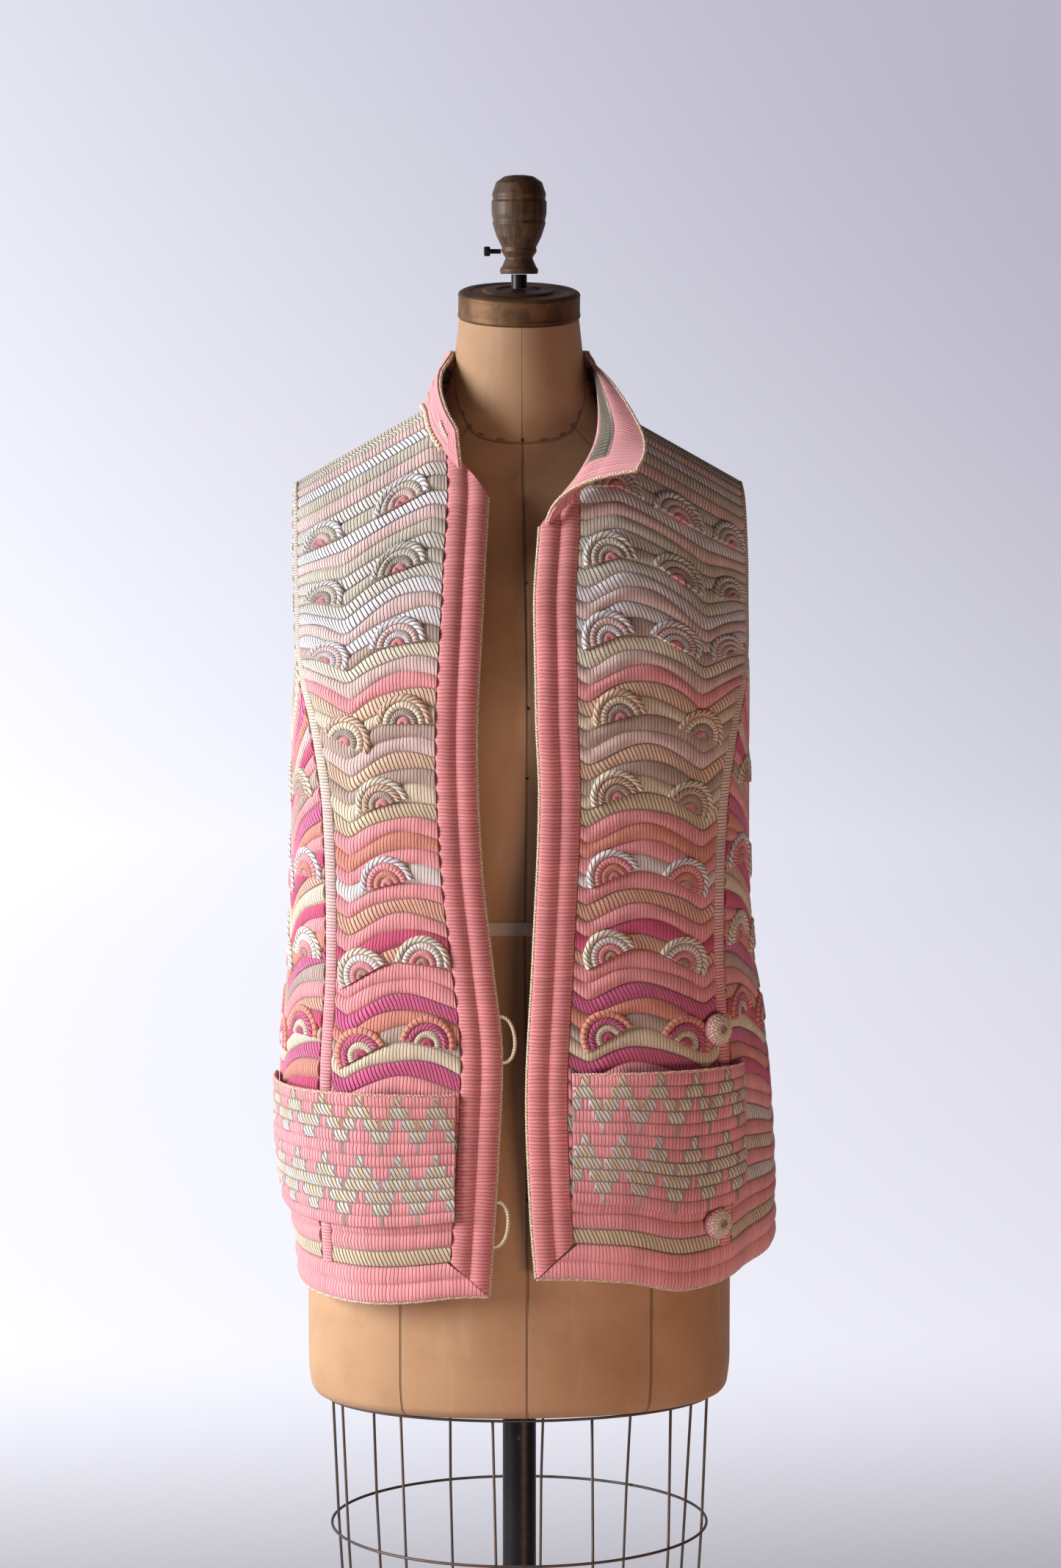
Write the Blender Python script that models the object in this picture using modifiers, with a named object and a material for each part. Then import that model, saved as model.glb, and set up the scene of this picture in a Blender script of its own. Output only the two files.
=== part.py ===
"""Crochet vest on a limbless dress form with its stand.

Metres, +Z up, the front faces -Y, and the origin is under the middle of the base.
The vest is one smooth surface, read from the section and fold tables below. A point of
it has two coordinates: `girth`, metres round the body from the centre front (0) to the
centre back (+-HALF_GIRTH, positive at +X), and `level`, its height at the body's middle.
Each crocheted piece is a closed wall between two grids of such points.
"""
import math

import bmesh
import bpy
import numpy as np
from mathutils import Vector

# Cloth
CLOTH_THICK = 0.0018
RIB_RAISE = 0.0020
SEAM_GAP = 0.0003
FRONT_COLUMNS = 8
SIDE_COLUMNS = 10
BACK_COLUMNS = 20
BODY_ROWS = 42
SIDE_ROWS = 28
BAND_ROWS_RIGHT = 38
BAND_ROWS_LEFT = 36
COLUMN_PITCH = 0.0160

# Vest
SHOULDER_TOP = 1.400
NECK_HALF = 0.069
SHOULDER_SLOPE = 0.56
UNDERARM = 1.175
HALF_GIRTH = 0.490
RIPPLE_WIDTH = HALF_GIRTH * 2 / 11
RIPPLE_CREST = HALF_GIRTH * 2 / 11
RIPPLE_HEIGHT = 0.021
RIPPLE_FADES_LOW = (0.790, 0.910)
RIPPLE_FADES_HIGH = (1.270, 1.350)
SEAM_FOOT = 0.78
EDGE_FOOT = 0.75

# Front bands and hem border, each of two padded ribs
BAND_WIDTH = 0.030
HEM_WIDTH = 0.027
BORDER_RIB_RAISE = 0.0028
BORDER_LINES = 9

# Pockets
POCKET_RISE = 0.031
POCKET_ROWS = 8
POCKET_GAPE = 0.0085
RIGHT_POCKET = (0.052, 0.238)
LEFT_POCKET = (0.031, 0.168)
RIGHT_MOUTH = 0.897
LEFT_MOUTH = 0.912

# Buttons and loops
BUTTON_RADIUS = 0.0122
BUTTON_X = 0.140
LOOP_CORD = 0.0026
LOOP_HEIGHT = 0.034
LOOP_REACH = 0.0095
LOOP_STEPS = 12
BUTTON_SEAT = 0.0004

# Dress form
NECK_TOP = 1.472
NECK_SEAM = 1.415
CAP_HEIGHT = 0.020
CAP_RADIUS = 0.0462
CAP_TILT = math.radians(9)
FORM_COLUMNS = 32

# Stand
POLE_RADIUS = 0.013
ROD_RADIUS = 0.006
BASE_RADIUS = 0.205
CAGE_WIRE = 0.0022
CAGE_WIRES = 12
CAGE_TURN = math.radians(-10)
CAGE_BOTTOM = 0.330
HOOP_RUNS = 28

VEST_COLUMNS = ("level", "half_width", "front_depth", "back_depth", "squareness", "shoulder_share")
VEST = (
    (0.735, 0.1810, 0.1320, 0.1400, 2.6, 0.00),
    (0.800, 0.1820, 0.1330, 0.1420, 2.7, 0.00),
    (0.900, 0.1800, 0.1280, 0.1330, 2.8, 0.00),
    (1.000, 0.1725, 0.1190, 0.1150, 3.0, 0.00),
    (1.100, 0.1705, 0.1240, 0.1100, 3.1, 0.00),
    (1.190, 0.1700, 0.1310, 0.1120, 3.2, 0.10),
    (1.260, 0.1705, 0.1150, 0.1120, 3.4, 0.50),
    (1.310, 0.1710, 0.0930, 0.1040, 3.4, 0.78),
    (1.340, 0.1715, 0.0780, 0.0950, 3.4, 0.92),
    (1.370, 0.1715, 0.0560, 0.0820, 3.4, 1.00),
    (1.385, 0.1715, 0.0390, 0.0700, 3.4, 1.00),
    (1.393, 0.1715, 0.0250, 0.0560, 3.4, 1.00),
    (1.398, 0.1715, 0.0100, 0.0250, 3.4, 1.00),
    (1.400, 0.1715, 0.0005, 0.0005, 3.4, 1.00),
)

FOLD_COLUMNS = ("girth", "out", "half_span", "fades_in_below", "full_below")
FOLDS = (
    (0.255, 0.013, 0.070, 1.080, 0.800),
    (0.185, -0.007, 0.022, 1.100, 0.880),
    (-0.255, -0.016, 0.080, 0.860, 0.740),
    (-0.120, 0.003, 0.030, 1.000, 0.800),
    (0.340, -0.005, 0.030, 1.050, 0.780),
    (0.410, 0.005, 0.034, 1.050, 0.780),
    (-0.350, 0.005, 0.034, 1.050, 0.780),
    (-0.420, -0.004, 0.030, 1.050, 0.780),
)

RIGHT_EDGE_COLUMNS = ("level", "x")
RIGHT_EDGE = (
    (0.745, -0.0300),
    (0.852, -0.0234),
    (0.923, -0.0204),
    (0.993, -0.0271),
    (1.070, -0.0354),
    (1.160, -0.0390),
    (1.273, -0.0330),
    (1.340, -0.0277),
)

LEFT_EDGE_COLUMNS = ("level", "x")
LEFT_EDGE = (
    (0.758, 0.0061),
    (0.807, 0.0022),
    (0.890, -0.0007),
    (0.998, 0.0047),
    (1.120, 0.0091),
    (1.183, 0.0065),
    (1.255, 0.0060),
    (1.318, 0.0110),
)

NECKLINE_COLUMNS = ("level", "x")
RIGHT_NECKLINE = ((1.3380, 0.0280), (1.3575, 0.0470), (1.3700, 0.0580), (1.3850, 0.0660), (1.4000, 0.0690))
LEFT_NECKLINE = ((1.3180, 0.0155), (1.3400, 0.0400), (1.3600, 0.0560), (1.3850, 0.0660), (1.4000, 0.0690))
BACK_NECK_LEVEL = 1.3935

PRINCESS_COLUMNS = ("level", "share_of_half_width")
PRINCESS = (
    (0.735, 0.840),
    (1.000, 0.860),
    (1.100, 0.880),
    (1.170, 0.930),
    (1.210, 0.970),
    (1.260, 0.985),
    (1.400, 0.985),
)

HEM_COLUMNS = ("girth", "level")
HEM = (
    (-0.490, 0.752),
    (-0.360, 0.748),
    (-0.230, 0.744),
    (-0.120, 0.739),
    (-0.030, 0.748),
    (0.006, 0.759),
    (0.070, 0.755),
    (0.115, 0.746),
    (0.180, 0.755),
    (0.250, 0.766),
    (0.360, 0.758),
    (0.490, 0.752),
)

COLLAR_COLUMNS = ("station", "heading", "bend_out", "bend_up", "top_out", "top_up")
COLLAR = (
    (-1.00, 70, 0.002, 0.016, 0.003, 0.029),
    (-0.72, 70, -0.002, 0.020, -0.007, 0.036),
    (-0.50, 90, -0.006, 0.022, -0.020, 0.040),
    (-0.25, 140, 0.001, 0.024, -0.006, 0.045),
    (0.00, 180, 0.002, 0.024, -0.004, 0.046),
    (0.25, 140, 0.001, 0.024, -0.006, 0.045),
    (0.50, 90, -0.012, 0.031, -0.019, 0.039),
    (0.66, 70, -0.022, 0.044, 0.003, 0.031),
    (0.82, 70, -0.012, 0.042, 0.033, 0.026),
    (1.00, 75, 0.004, 0.032, 0.068, 0.040),
)

FORM_SECTION_COLUMNS = ("height", "half_width", "front_depth", "back_depth", "squareness")
FORM_SECTIONS = (
    (0.6450, 0.1500, 0.1020, 0.1060, 2.2),
    (0.6475, 0.1570, 0.1100, 0.1140, 2.2),
    (0.6540, 0.1610, 0.1150, 0.1180, 2.2),
    (0.6750, 0.1630, 0.1170, 0.1210, 2.2),
    (0.7600, 0.1630, 0.1180, 0.1240, 2.2),
    (0.8200, 0.1610, 0.1160, 0.1250, 2.2),
    (0.9200, 0.1380, 0.1000, 0.1030, 2.2),
    (1.0090, 0.1140, 0.0850, 0.0760, 2.2),
    (1.1000, 0.1320, 0.1040, 0.0880, 2.2),
    (1.1800, 0.1480, 0.1200, 0.0970, 2.2),
    (1.2300, 0.1620, 0.1120, 0.0970, 2.3),
    (1.2700, 0.1690, 0.0980, 0.0940, 2.4),
    (1.3050, 0.1715, 0.0760, 0.0860, 2.1),
    (1.3300, 0.1705, 0.0620, 0.0740, 1.9),
    (1.3440, 0.1640, 0.0560, 0.0640, 1.6),
    (1.3600, 0.1385, 0.0500, 0.0580, 1.4),
    (1.3800, 0.1035, 0.0490, 0.0520, 1.3),
    (1.3930, 0.0770, 0.0480, 0.0490, 1.4),
    (1.4020, 0.0625, 0.0475, 0.0480, 1.8),
    (1.4150, 0.0560, 0.0470, 0.0480, 2.0),
    (1.4350, 0.0500, 0.0460, 0.0465, 2.0),
    (1.4720, 0.0455, 0.0455, 0.0455, 2.0),
)

FINIAL_COLUMNS = ("height_above_rod", "radius")
FINIAL = (
    (0.0745, 0.0045),
    (0.0735, 0.0110),
    (0.0690, 0.0175),
    (0.0600, 0.0205),
    (0.0560, 0.0198),
    (0.0545, 0.0210),
    (0.0450, 0.0208),
    (0.0400, 0.0196),
    (0.0385, 0.0203),
    (0.0280, 0.0170),
    (0.0200, 0.0130),
    (0.0170, 0.0135),
    (0.0120, 0.0102),
    (0.0060, 0.0128),
    (0.0030, 0.0148),
    (0.0000, 0.0140),
)
SCREW_ROW = 11

COLOURS = {
    "crochet_body": (0.72, 0.60, 0.52, 1),
    "crochet_pink": (0.80, 0.40, 0.38, 1),
    "crochet_side": (0.72, 0.38, 0.36, 1),
    "crochet_pocket": (0.78, 0.48, 0.44, 1),
    "button_cream": (0.66, 0.57, 0.47, 1),
    "form_linen": (0.42, 0.25, 0.12, 1),
    "old_brass": (0.16, 0.11, 0.07, 1),
    "turned_wood": (0.15, 0.09, 0.05, 1),
    "black_iron": (0.03, 0.03, 0.035, 1),
    "cage_wire": (0.12, 0.10, 0.09, 1),
}


def smooth_curve(rows, column):
    """A curve without overshoot through one column of a table, read by the table's first column."""
    table = np.array(rows, dtype=float)
    at, value = table[:, 0], table[:, column]
    step = np.diff(at)
    rise = np.diff(value) / step
    slope = np.concatenate([rise[:1], np.zeros(len(rise) - 1), rise[-1:]])
    same_way = rise[:-1] * rise[1:] > 0
    mean = 2 * rise[:-1] * rise[1:] / np.where(same_way, rise[:-1] + rise[1:], 1)
    slope[1:-1] = np.where(same_way, mean, 0)

    def read(x):
        x = np.clip(x, at[0], at[-1])
        i = np.clip(np.searchsorted(at, x) - 1, 0, len(at) - 2)
        t = (x - at[i]) / step[i]
        first = value[i] * (1 + 2 * t) + slope[i] * step[i] * t
        second = value[i + 1] * (3 - 2 * t) - slope[i + 1] * step[i] * (1 - t)
        return first * (1 - t) ** 2 + second * t ** 2
    return read


def curve_of(rows, columns, name):
    return smooth_curve(rows, columns.index(name))


half_width = curve_of(VEST, VEST_COLUMNS, "half_width")
front_depth = curve_of(VEST, VEST_COLUMNS, "front_depth")
back_depth = curve_of(VEST, VEST_COLUMNS, "back_depth")
squareness = curve_of(VEST, VEST_COLUMNS, "squareness")
shoulder_share = curve_of(VEST, VEST_COLUMNS, "shoulder_share")
right_edge = curve_of(RIGHT_EDGE, RIGHT_EDGE_COLUMNS, "x")
left_edge = curve_of(LEFT_EDGE, LEFT_EDGE_COLUMNS, "x")
right_neckline = curve_of(RIGHT_NECKLINE, NECKLINE_COLUMNS, "x")
left_neckline = curve_of(LEFT_NECKLINE, NECKLINE_COLUMNS, "x")
princess_share = curve_of(PRINCESS, PRINCESS_COLUMNS, "share_of_half_width")
hem_level = curve_of(HEM, HEM_COLUMNS, "level")


def section_point(turn, square):
    """The unit section at an angle from the front: across and forward, on a rounded square."""
    reach = (np.abs(np.sin(turn)) ** square + np.abs(np.cos(turn)) ** square) ** (-1 / square)
    return reach * np.sin(turn), reach * np.cos(turn)


def girth_tables(half=0.175, depth=0.120, square=3.0, samples=1441):
    """Angles round a nominal section, with the girth at each, scaled to HALF_GIRTH."""
    turn = np.linspace(0, math.pi, samples)
    across, forward = section_point(turn, square)
    length = np.hypot(np.diff(across * half), np.diff(forward * depth))
    girth = np.concatenate([[0], np.cumsum(length)])
    return turn, girth * HALF_GIRTH / girth[-1]


TURNS, GIRTHS = girth_tables()


def wrapped(girth):
    """The same place round the body, between the two sides of the centre back."""
    return (girth + HALF_GIRTH) % (2 * HALF_GIRTH) - HALF_GIRTH


def turn_at(girth):
    girth = wrapped(girth)
    return np.sign(girth) * np.interp(np.abs(girth), GIRTHS, TURNS)


def length_tables(samples=1331):
    """Levels, with the length up the cloth at each, as a mean of its front and its back."""
    level = np.linspace(VEST[0][0], SHOULDER_TOP, samples)
    depth = (front_depth(level) + back_depth(level)) / 2
    length = np.cumsum(np.hypot(np.diff(level), np.diff(depth)))
    return level, np.concatenate([[0], length])


LEVELS, LENGTHS = length_tables()


def girth_at_share(share, level, back=False):
    """The girth where a section has this share of its half width, on the front or the back."""
    share = np.clip(share, -1, 1)
    square = squareness(level)
    forward = (1 - np.abs(share) ** square) ** (1 / square)
    turn = np.arctan2(np.abs(share), -forward if back else forward)
    return np.where(share < 0, -1, 1) * np.interp(turn, TURNS, GIRTHS)


def girth_at_x(x, level):
    return girth_at_share(x / half_width(level), level)


def fold_depth(girth, level):
    """How far the folds and the flare push the cloth out, as soft bells that grow downward."""
    out = np.zeros(np.broadcast(girth, level).shape)
    for centre, depth, span, start, full in FOLDS:
        grown = np.clip((start - level) / (start - full), 0, 1)
        away = wrapped(girth - centre) / span
        out = out + depth * grown ** 2 * (3 - 2 * grown) * np.exp(-away ** 2)
    return out


def vest_point(girth, level):
    """The cloth's inner face: a rounded-square section, dropped outward along the shoulder."""
    girth, level = np.broadcast_arrays(np.asarray(girth, float), np.asarray(level, float))
    square = squareness(level)
    across, forward = section_point(turn_at(girth), square)
    half = half_width(level)
    depth = np.where(forward > 0, front_depth(level), back_depth(level))
    lean_x = np.sign(across) * np.abs(across) ** (square - 1) / half
    lean_y = -np.sign(forward) * np.abs(forward) ** (square - 1) / depth
    out = fold_depth(girth, level) / np.hypot(lean_x, lean_y)
    x = half * across + lean_x * out
    y = -depth * forward + lean_y * out
    drop = shoulder_share(level) * SHOULDER_SLOPE * np.clip(np.abs(half * across) - NECK_HALF, 0, None)
    return np.stack([x, y, level - drop], axis=-1)


def unit(vectors):
    return vectors / np.linalg.norm(vectors, axis=-1, keepdims=True)


def vest_normal(girth, level, step=0.0008):
    """Outward direction of the cloth, from two short steps along it."""
    upper = np.minimum(level + step, SHOULDER_TOP)
    along = vest_point(girth + step, level) - vest_point(girth - step, level)
    up = vest_point(girth, upper) - vest_point(girth, level - step)
    return unit(np.cross(along, up))


def raised(girth, level, height):
    """Points at a height over the cloth's inner face."""
    return vest_point(girth, level) + vest_normal(girth, level) * np.asarray(height)[..., None]


def ripple(girth):
    """Round crests and narrow valleys, one every RIPPLE_WIDTH, between -0.5 and 0.5."""
    away = np.abs(wrapped(girth)) - RIPPLE_CREST
    return np.abs(np.cos(math.pi * away / RIPPLE_WIDTH)) ** 0.8 - 0.5


def rippled(girth, level):
    """The level moved up and down with the ripple, which fades out at the hem and the shoulder."""
    low = np.interp(level, RIPPLE_FADES_LOW, (0, 1))
    high = np.interp(level, RIPPLE_FADES_HIGH, (1, 0))
    return level + RIPPLE_HEIGHT * low * high * ripple(girth)


def new_material(name, roughness=0.8, metallic=0.0):
    material = bpy.data.materials.new(name)
    material.use_nodes = True
    shader = material.node_tree.nodes["Principled BSDF"]
    shader.inputs["Base Color"].default_value = COLOURS[name]
    shader.inputs["Roughness"].default_value = roughness
    shader.inputs["Metallic"].default_value = metallic
    return material


def add_object(name, data, material, angle=40):
    """Puts a mesh or a curve in the collection, shaded smooth below the given angle."""
    item = bpy.data.objects.new(name, data)
    data.materials.append(material)
    if isinstance(data, bpy.types.Mesh):
        data.shade_smooth()
        data.set_sharp_from_angle(angle=math.radians(angle))
    bpy.data.collections["crochet_vest"].objects.link(item)
    return item


def zip_strips(first, second):
    """Triangles between two lines of vertices that start and end beside each other."""
    faces = []
    i = j = 0
    while i < len(first) - 1 or j < len(second) - 1:
        step_first = (i + 1) * (len(second) - 1) <= (j + 1) * (len(first) - 1)
        if j == len(second) - 1 or (step_first and i < len(first) - 1):
            faces.append((first[i], first[i + 1], second[j]))
            i += 1
        else:
            faces.append((first[i], second[j + 1], second[j]))
            j += 1
    return faces


def grid_faces(index):
    """Quads over a grid of vertex numbers."""
    corners = (index[:-1, :-1], index[:-1, 1:], index[1:, 1:], index[1:, :-1])
    return [tuple(int(v) for v in quad) for quad in np.stack(corners, axis=-1).reshape(-1, 4)]


def wall_mesh(name, outer, inner):
    """A closed wall between two grids of points that share their four edges' course."""
    mesh = bpy.data.meshes.new(name)
    count = outer.shape[0] * outer.shape[1]
    out = np.arange(count).reshape(outer.shape[:2])
    low = np.arange(inner.shape[0] * inner.shape[1]).reshape(inner.shape[:2]) + count
    faces = grid_faces(out) + grid_faces(low)
    edges = ((out[0], low[0]), (out[-1], low[-1]), (out[:, 0], low[:, 0]), (out[:, -1], low[:, -1]))
    for first, second in edges:
        faces += zip_strips([int(v) for v in first], [int(v) for v in second])
    points = np.concatenate([outer.reshape(-1, 3), inner.reshape(-1, 3)])
    mesh.from_pydata(points.tolist(), [], faces)
    work = bmesh.new()
    work.from_mesh(mesh)
    bmesh.ops.recalc_face_normals(work, faces=work.faces)
    work.to_mesh(mesh)
    work.free()
    return mesh


def add_wall(name, outer, inner, material):
    return add_object(name, wall_mesh(name, outer, inner), material, angle=60)


def even(number):
    """The nearest even count of at least two, so that an inner grid can take every second line."""
    return max(2, 2 * round(number / 2))


def rib_heights(rows):
    """Heights over the inner face: a crown on every second row, a groove between them."""
    return CLOTH_THICK + RIB_RAISE * (np.arange(rows) % 2)


def panel_girths(start, end, level, share):
    """Girths evenly spread between two edges, which are functions of the level."""
    first = start(level) + SEAM_GAP / 2
    last = end(level) - SEAM_GAP / 2
    return first + (last - first) * share


def row_levels(girth, rows=BODY_ROWS, top=SHOULDER_TOP):
    """Levels of rows evenly spread up the cloth, from the hem border to the top of each column."""
    low = np.interp(hem_level(wrapped(girth)) + HEM_WIDTH + SEAM_GAP, LEVELS, LENGTHS)
    high = np.interp(top, LEVELS, LENGTHS)
    share = np.linspace(0, 1, rows + 1)[:, None]
    return np.interp(low + (high - low) * share, LENGTHS, LEVELS)


def row_level(girth, row):
    """The level of one of the body's rows at one girth, before its ripple."""
    return row_levels(np.array([girth]))[row, 0]


def ribbed_panel(name, start, end, columns, material, top=lambda share: SHOULDER_TOP, rows=BODY_ROWS):
    """A rippled, ribbed piece of the body between two seams, above the hem border."""
    share = np.linspace(0, 1, columns + 1)
    plain = row_levels(panel_girths(start, end, SEAM_FOOT, share), rows, top(share))
    level = rippled(panel_girths(start, end, plain, share), plain)
    girth = panel_girths(start, end, level, share)
    heights = rib_heights(len(level))[:, None] + np.zeros_like(girth)
    inner = raised(girth[::2], level[::2], 0 * girth[::2])
    add_wall(name, raised(girth, level, heights), inner, material)


def band_inner_girth(side, level):
    """The seam between a front band and its front panel, and the neckline above the band."""
    if side < 0:
        return girth_at_x(np.minimum(-right_neckline(level), right_edge(level) - BAND_WIDTH), level)
    return girth_at_x(np.maximum(left_neckline(level), left_edge(level) + BAND_WIDTH), level)


def princess_girth(side, level, back=False):
    return girth_at_share(side * princess_share(level), level, back)


def side_panel_top(side, share):
    """The underarm: lowest in the middle, rising to the body's own row at the two seams."""
    front = row_level(princess_girth(side, SEAM_FOOT), SIDE_ROWS)
    back = row_level(princess_girth(side, SEAM_FOOT, back=True), SIDE_ROWS)
    first, last = (front, back) if side > 0 else (back, front)
    seam = first + (last - first) * share
    return UNDERARM + (seam - UNDERARM) * (2 * share - 1) ** 2


def back_top(share):
    """The shoulder seams at both ends, and the back neckline between them."""
    x = (2 * share - 1) * princess_share(SHOULDER_TOP) * half_width(SHOULDER_TOP)
    neck = BACK_NECK_LEVEL + (SHOULDER_TOP - BACK_NECK_LEVEL) * (np.abs(x) / NECK_HALF) ** 4
    return np.where(np.abs(x) > 0.97 * NECK_HALF, SHOULDER_TOP, neck)


def make_fronts(material):
    ribbed_panel("front_right", lambda z: princess_girth(-1, z), lambda z: band_inner_girth(-1, z),
                 FRONT_COLUMNS, material)
    ribbed_panel("front_left", lambda z: band_inner_girth(1, z), lambda z: princess_girth(1, z),
                 FRONT_COLUMNS, material)


def make_sides(material):
    ribbed_panel("side_right", lambda z: princess_girth(-1, z, back=True), lambda z: princess_girth(-1, z),
                 SIDE_COLUMNS, material, lambda share: side_panel_top(-1, share), SIDE_ROWS)
    ribbed_panel("side_left", lambda z: princess_girth(1, z), lambda z: princess_girth(1, z, back=True),
                 SIDE_COLUMNS, material, lambda share: side_panel_top(1, share), SIDE_ROWS)


def make_back(material):
    """The back runs through the centre back, so its girths go on past HALF_GIRTH."""
    ribbed_panel("back", lambda z: princess_girth(1, z, back=True),
                 lambda z: 2 * HALF_GIRTH + princess_girth(-1, z, back=True), BACK_COLUMNS, material, back_top)


def border_heights():
    """Two round ribs across a border, with a thin edge on both sides and a groove between."""
    share = np.linspace(0, 1, BORDER_LINES)
    return CLOTH_THICK + BORDER_RIB_RAISE * np.abs(np.sin(2 * math.pi * share)) ** 0.7


def make_band(name, side, material):
    """A front band: two upright ribs from the mitred hem corner to the neckline."""
    edge = left_edge if side > 0 else right_edge
    edge_top = LEFT_EDGE[-1][0] if side > 0 else RIGHT_EDGE[-1][0]
    rows = BAND_ROWS_LEFT if side > 0 else BAND_ROWS_RIGHT
    across = np.linspace(0, 1, BORDER_LINES)
    seam = band_inner_girth(side, SEAM_FOOT)
    plain = row_levels(np.array([seam]))[:rows + 1]
    plain = rippled(band_inner_girth(side, plain), plain)
    corner = hem_level(edge(EDGE_FOOT) + side * BAND_WIDTH / 2) + 2 * SEAM_GAP
    rise = np.linspace(0, 1, rows + 1)[:, None]
    shift = (corner - plain[0]) * (1 - rise) + (edge_top - plain[-1]) * rise
    level = plain + shift * (1 - across)
    girth = girth_at_x(edge(level) + side * (BAND_WIDTH - SEAM_GAP / 2) * across, level)
    heights = border_heights() + np.zeros_like(girth)
    inner = raised(girth[::2, ::4], level[::2, ::4], 0 * girth[::2, ::4])
    add_wall(name, raised(girth, level, heights), inner, material)


def make_hem(name, side, material):
    """A hem border: two ribs from the mitred front corner round to the centre back."""
    edge = left_edge if side > 0 else right_edge
    columns = even(HALF_GIRTH / COLUMN_PITCH)
    rise = np.linspace(0, 1, BORDER_LINES)[:, None]
    start = girth_at_x(edge(EDGE_FOOT) + side * (BAND_WIDTH * rise + 2 * SEAM_GAP), EDGE_FOOT)
    end = side * (HALF_GIRTH - SEAM_GAP / 2)
    girth = start + (end - start) * np.linspace(0, 1, columns + 1)
    corner = hem_level(edge(EDGE_FOOT) + side * BAND_WIDTH / 2)
    near = np.exp(-((girth - start) / 0.030) ** 2)
    hem = hem_level(girth) + (corner - hem_level(girth)) * near
    join = hem_level(girth) + (corner - hem_level(girth)) * near * (1 - rise)
    level = hem + (join + HEM_WIDTH - hem) * rise
    heights = border_heights()[:, None] + np.zeros_like(girth)
    inner = raised(girth[::4], level[::4], 0 * girth[::4])
    add_wall(name, raised(girth, level, heights), inner, material)


def neckline_base(side, share):
    """Points of the panels' neck edge, from the centre back (0) by the shoulder (0.5) to the front (1)."""
    share = np.asarray(share, float)
    at_back = share < 0.5
    back_x = NECK_HALF * np.sin(math.pi * np.clip(share, 0, 0.5))
    neck = BACK_NECK_LEVEL + (SHOULDER_TOP - BACK_NECK_LEVEL) * (back_x / NECK_HALF) ** 4
    rows = LEFT_NECKLINE if side > 0 else RIGHT_NECKLINE
    low = rows[0][0] if side > 0 else rows[1][0]
    front_level = SHOULDER_TOP - (SHOULDER_TOP - low) * np.clip(2 * share - 1, 0, 1) ** 1.6
    front_x = left_neckline(front_level) if side > 0 else right_neckline(front_level)
    level = np.where(at_back, neck, front_level)
    back_girth = np.array([girth_at_share(x / half_width(z), z, True) for x, z in zip(back_x, neck)])
    front_girth = girth_at_x(front_x, front_level)
    return side * np.where(at_back, back_girth, front_girth), level


def collar_base():
    """The collar's lower edge, standing just over the panels, with the station of each point."""
    station = np.linspace(-1, 1, 41)
    right_girth, right_level = neckline_base(-1, -station[:20])
    left_girth, left_level = neckline_base(1, station[20:])
    girth = np.concatenate([right_girth, left_girth])
    level = np.concatenate([right_level, left_level])
    on_band = np.clip((np.abs(station) - 0.78) / 0.10, 0, 1)
    rib = RIB_RAISE + (BORDER_RIB_RAISE - RIB_RAISE) * on_band
    return station, raised(girth, level, CLOTH_THICK + rib + 3 * SEAM_GAP)


def make_collar(material):
    """A stand collar whose left front end rolls outward, bent along a curve at each station."""
    station, base = collar_base()
    read = {name: curve_of(COLLAR, COLLAR_COLUMNS, name)(station) for name in COLLAR_COLUMNS}
    heading = np.radians(read["heading"])
    side = np.where(station < 0, -1, 1)
    outward = np.stack([side * np.sin(heading), -np.cos(heading), 0 * heading], axis=-1)
    up = np.array([0, 0, 1.0])
    bend = base + outward * read["bend_out"][:, None] + up * read["bend_up"][:, None]
    top = base + outward * read["top_out"][:, None] + up * read["top_up"][:, None]
    share = np.linspace(0, 1, 6)[None, :, None]
    middle = base[:, None] * (1 - share) ** 2 + bend[:, None] * 2 * share * (1 - share) + top[:, None] * share ** 2
    along = np.gradient(middle, axis=0)
    rise = np.gradient(middle, axis=1)
    normal = unit(np.cross(along, rise))
    facing = np.sign(np.sum(normal[len(station) // 2, 0] * outward[len(station) // 2]))
    outer = middle + normal * facing * CLOTH_THICK * 1.2
    add_wall("collar", outer, middle[::2], material)


def make_pocket(name, side, material):
    """A patch pocket that lies on its panels and stands off them along its mouth."""
    near_girth, far_girth = LEFT_POCKET if side > 0 else RIGHT_POCKET
    columns = even((far_girth - near_girth) / COLUMN_PITCH)
    rows = POCKET_ROWS
    across = np.linspace(0, 1, columns + 1)
    rise = np.linspace(0, 1, rows + 1)[:, None]
    girth = side * (near_girth + (far_girth - near_girth) * across) + 0 * rise
    bottom = hem_level(girth[0]) + HEM_WIDTH + POCKET_RISE
    mouth = LEFT_MOUTH if side > 0 else RIGHT_MOUTH
    level = bottom + (mouth - bottom) * rise
    stand_off = CLOTH_THICK + RIB_RAISE + 3 * SEAM_GAP
    gape = POCKET_GAPE * rise ** 1.5 * np.sin(math.pi * across)
    inner = raised(girth, level, stand_off + gape)
    crown = CLOTH_THICK + 0.7 * RIB_RAISE * (np.arange(rows + 1) % 2)[:, None]
    add_wall(name, raised(girth, level, stand_off + gape + crown), inner, material)


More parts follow.
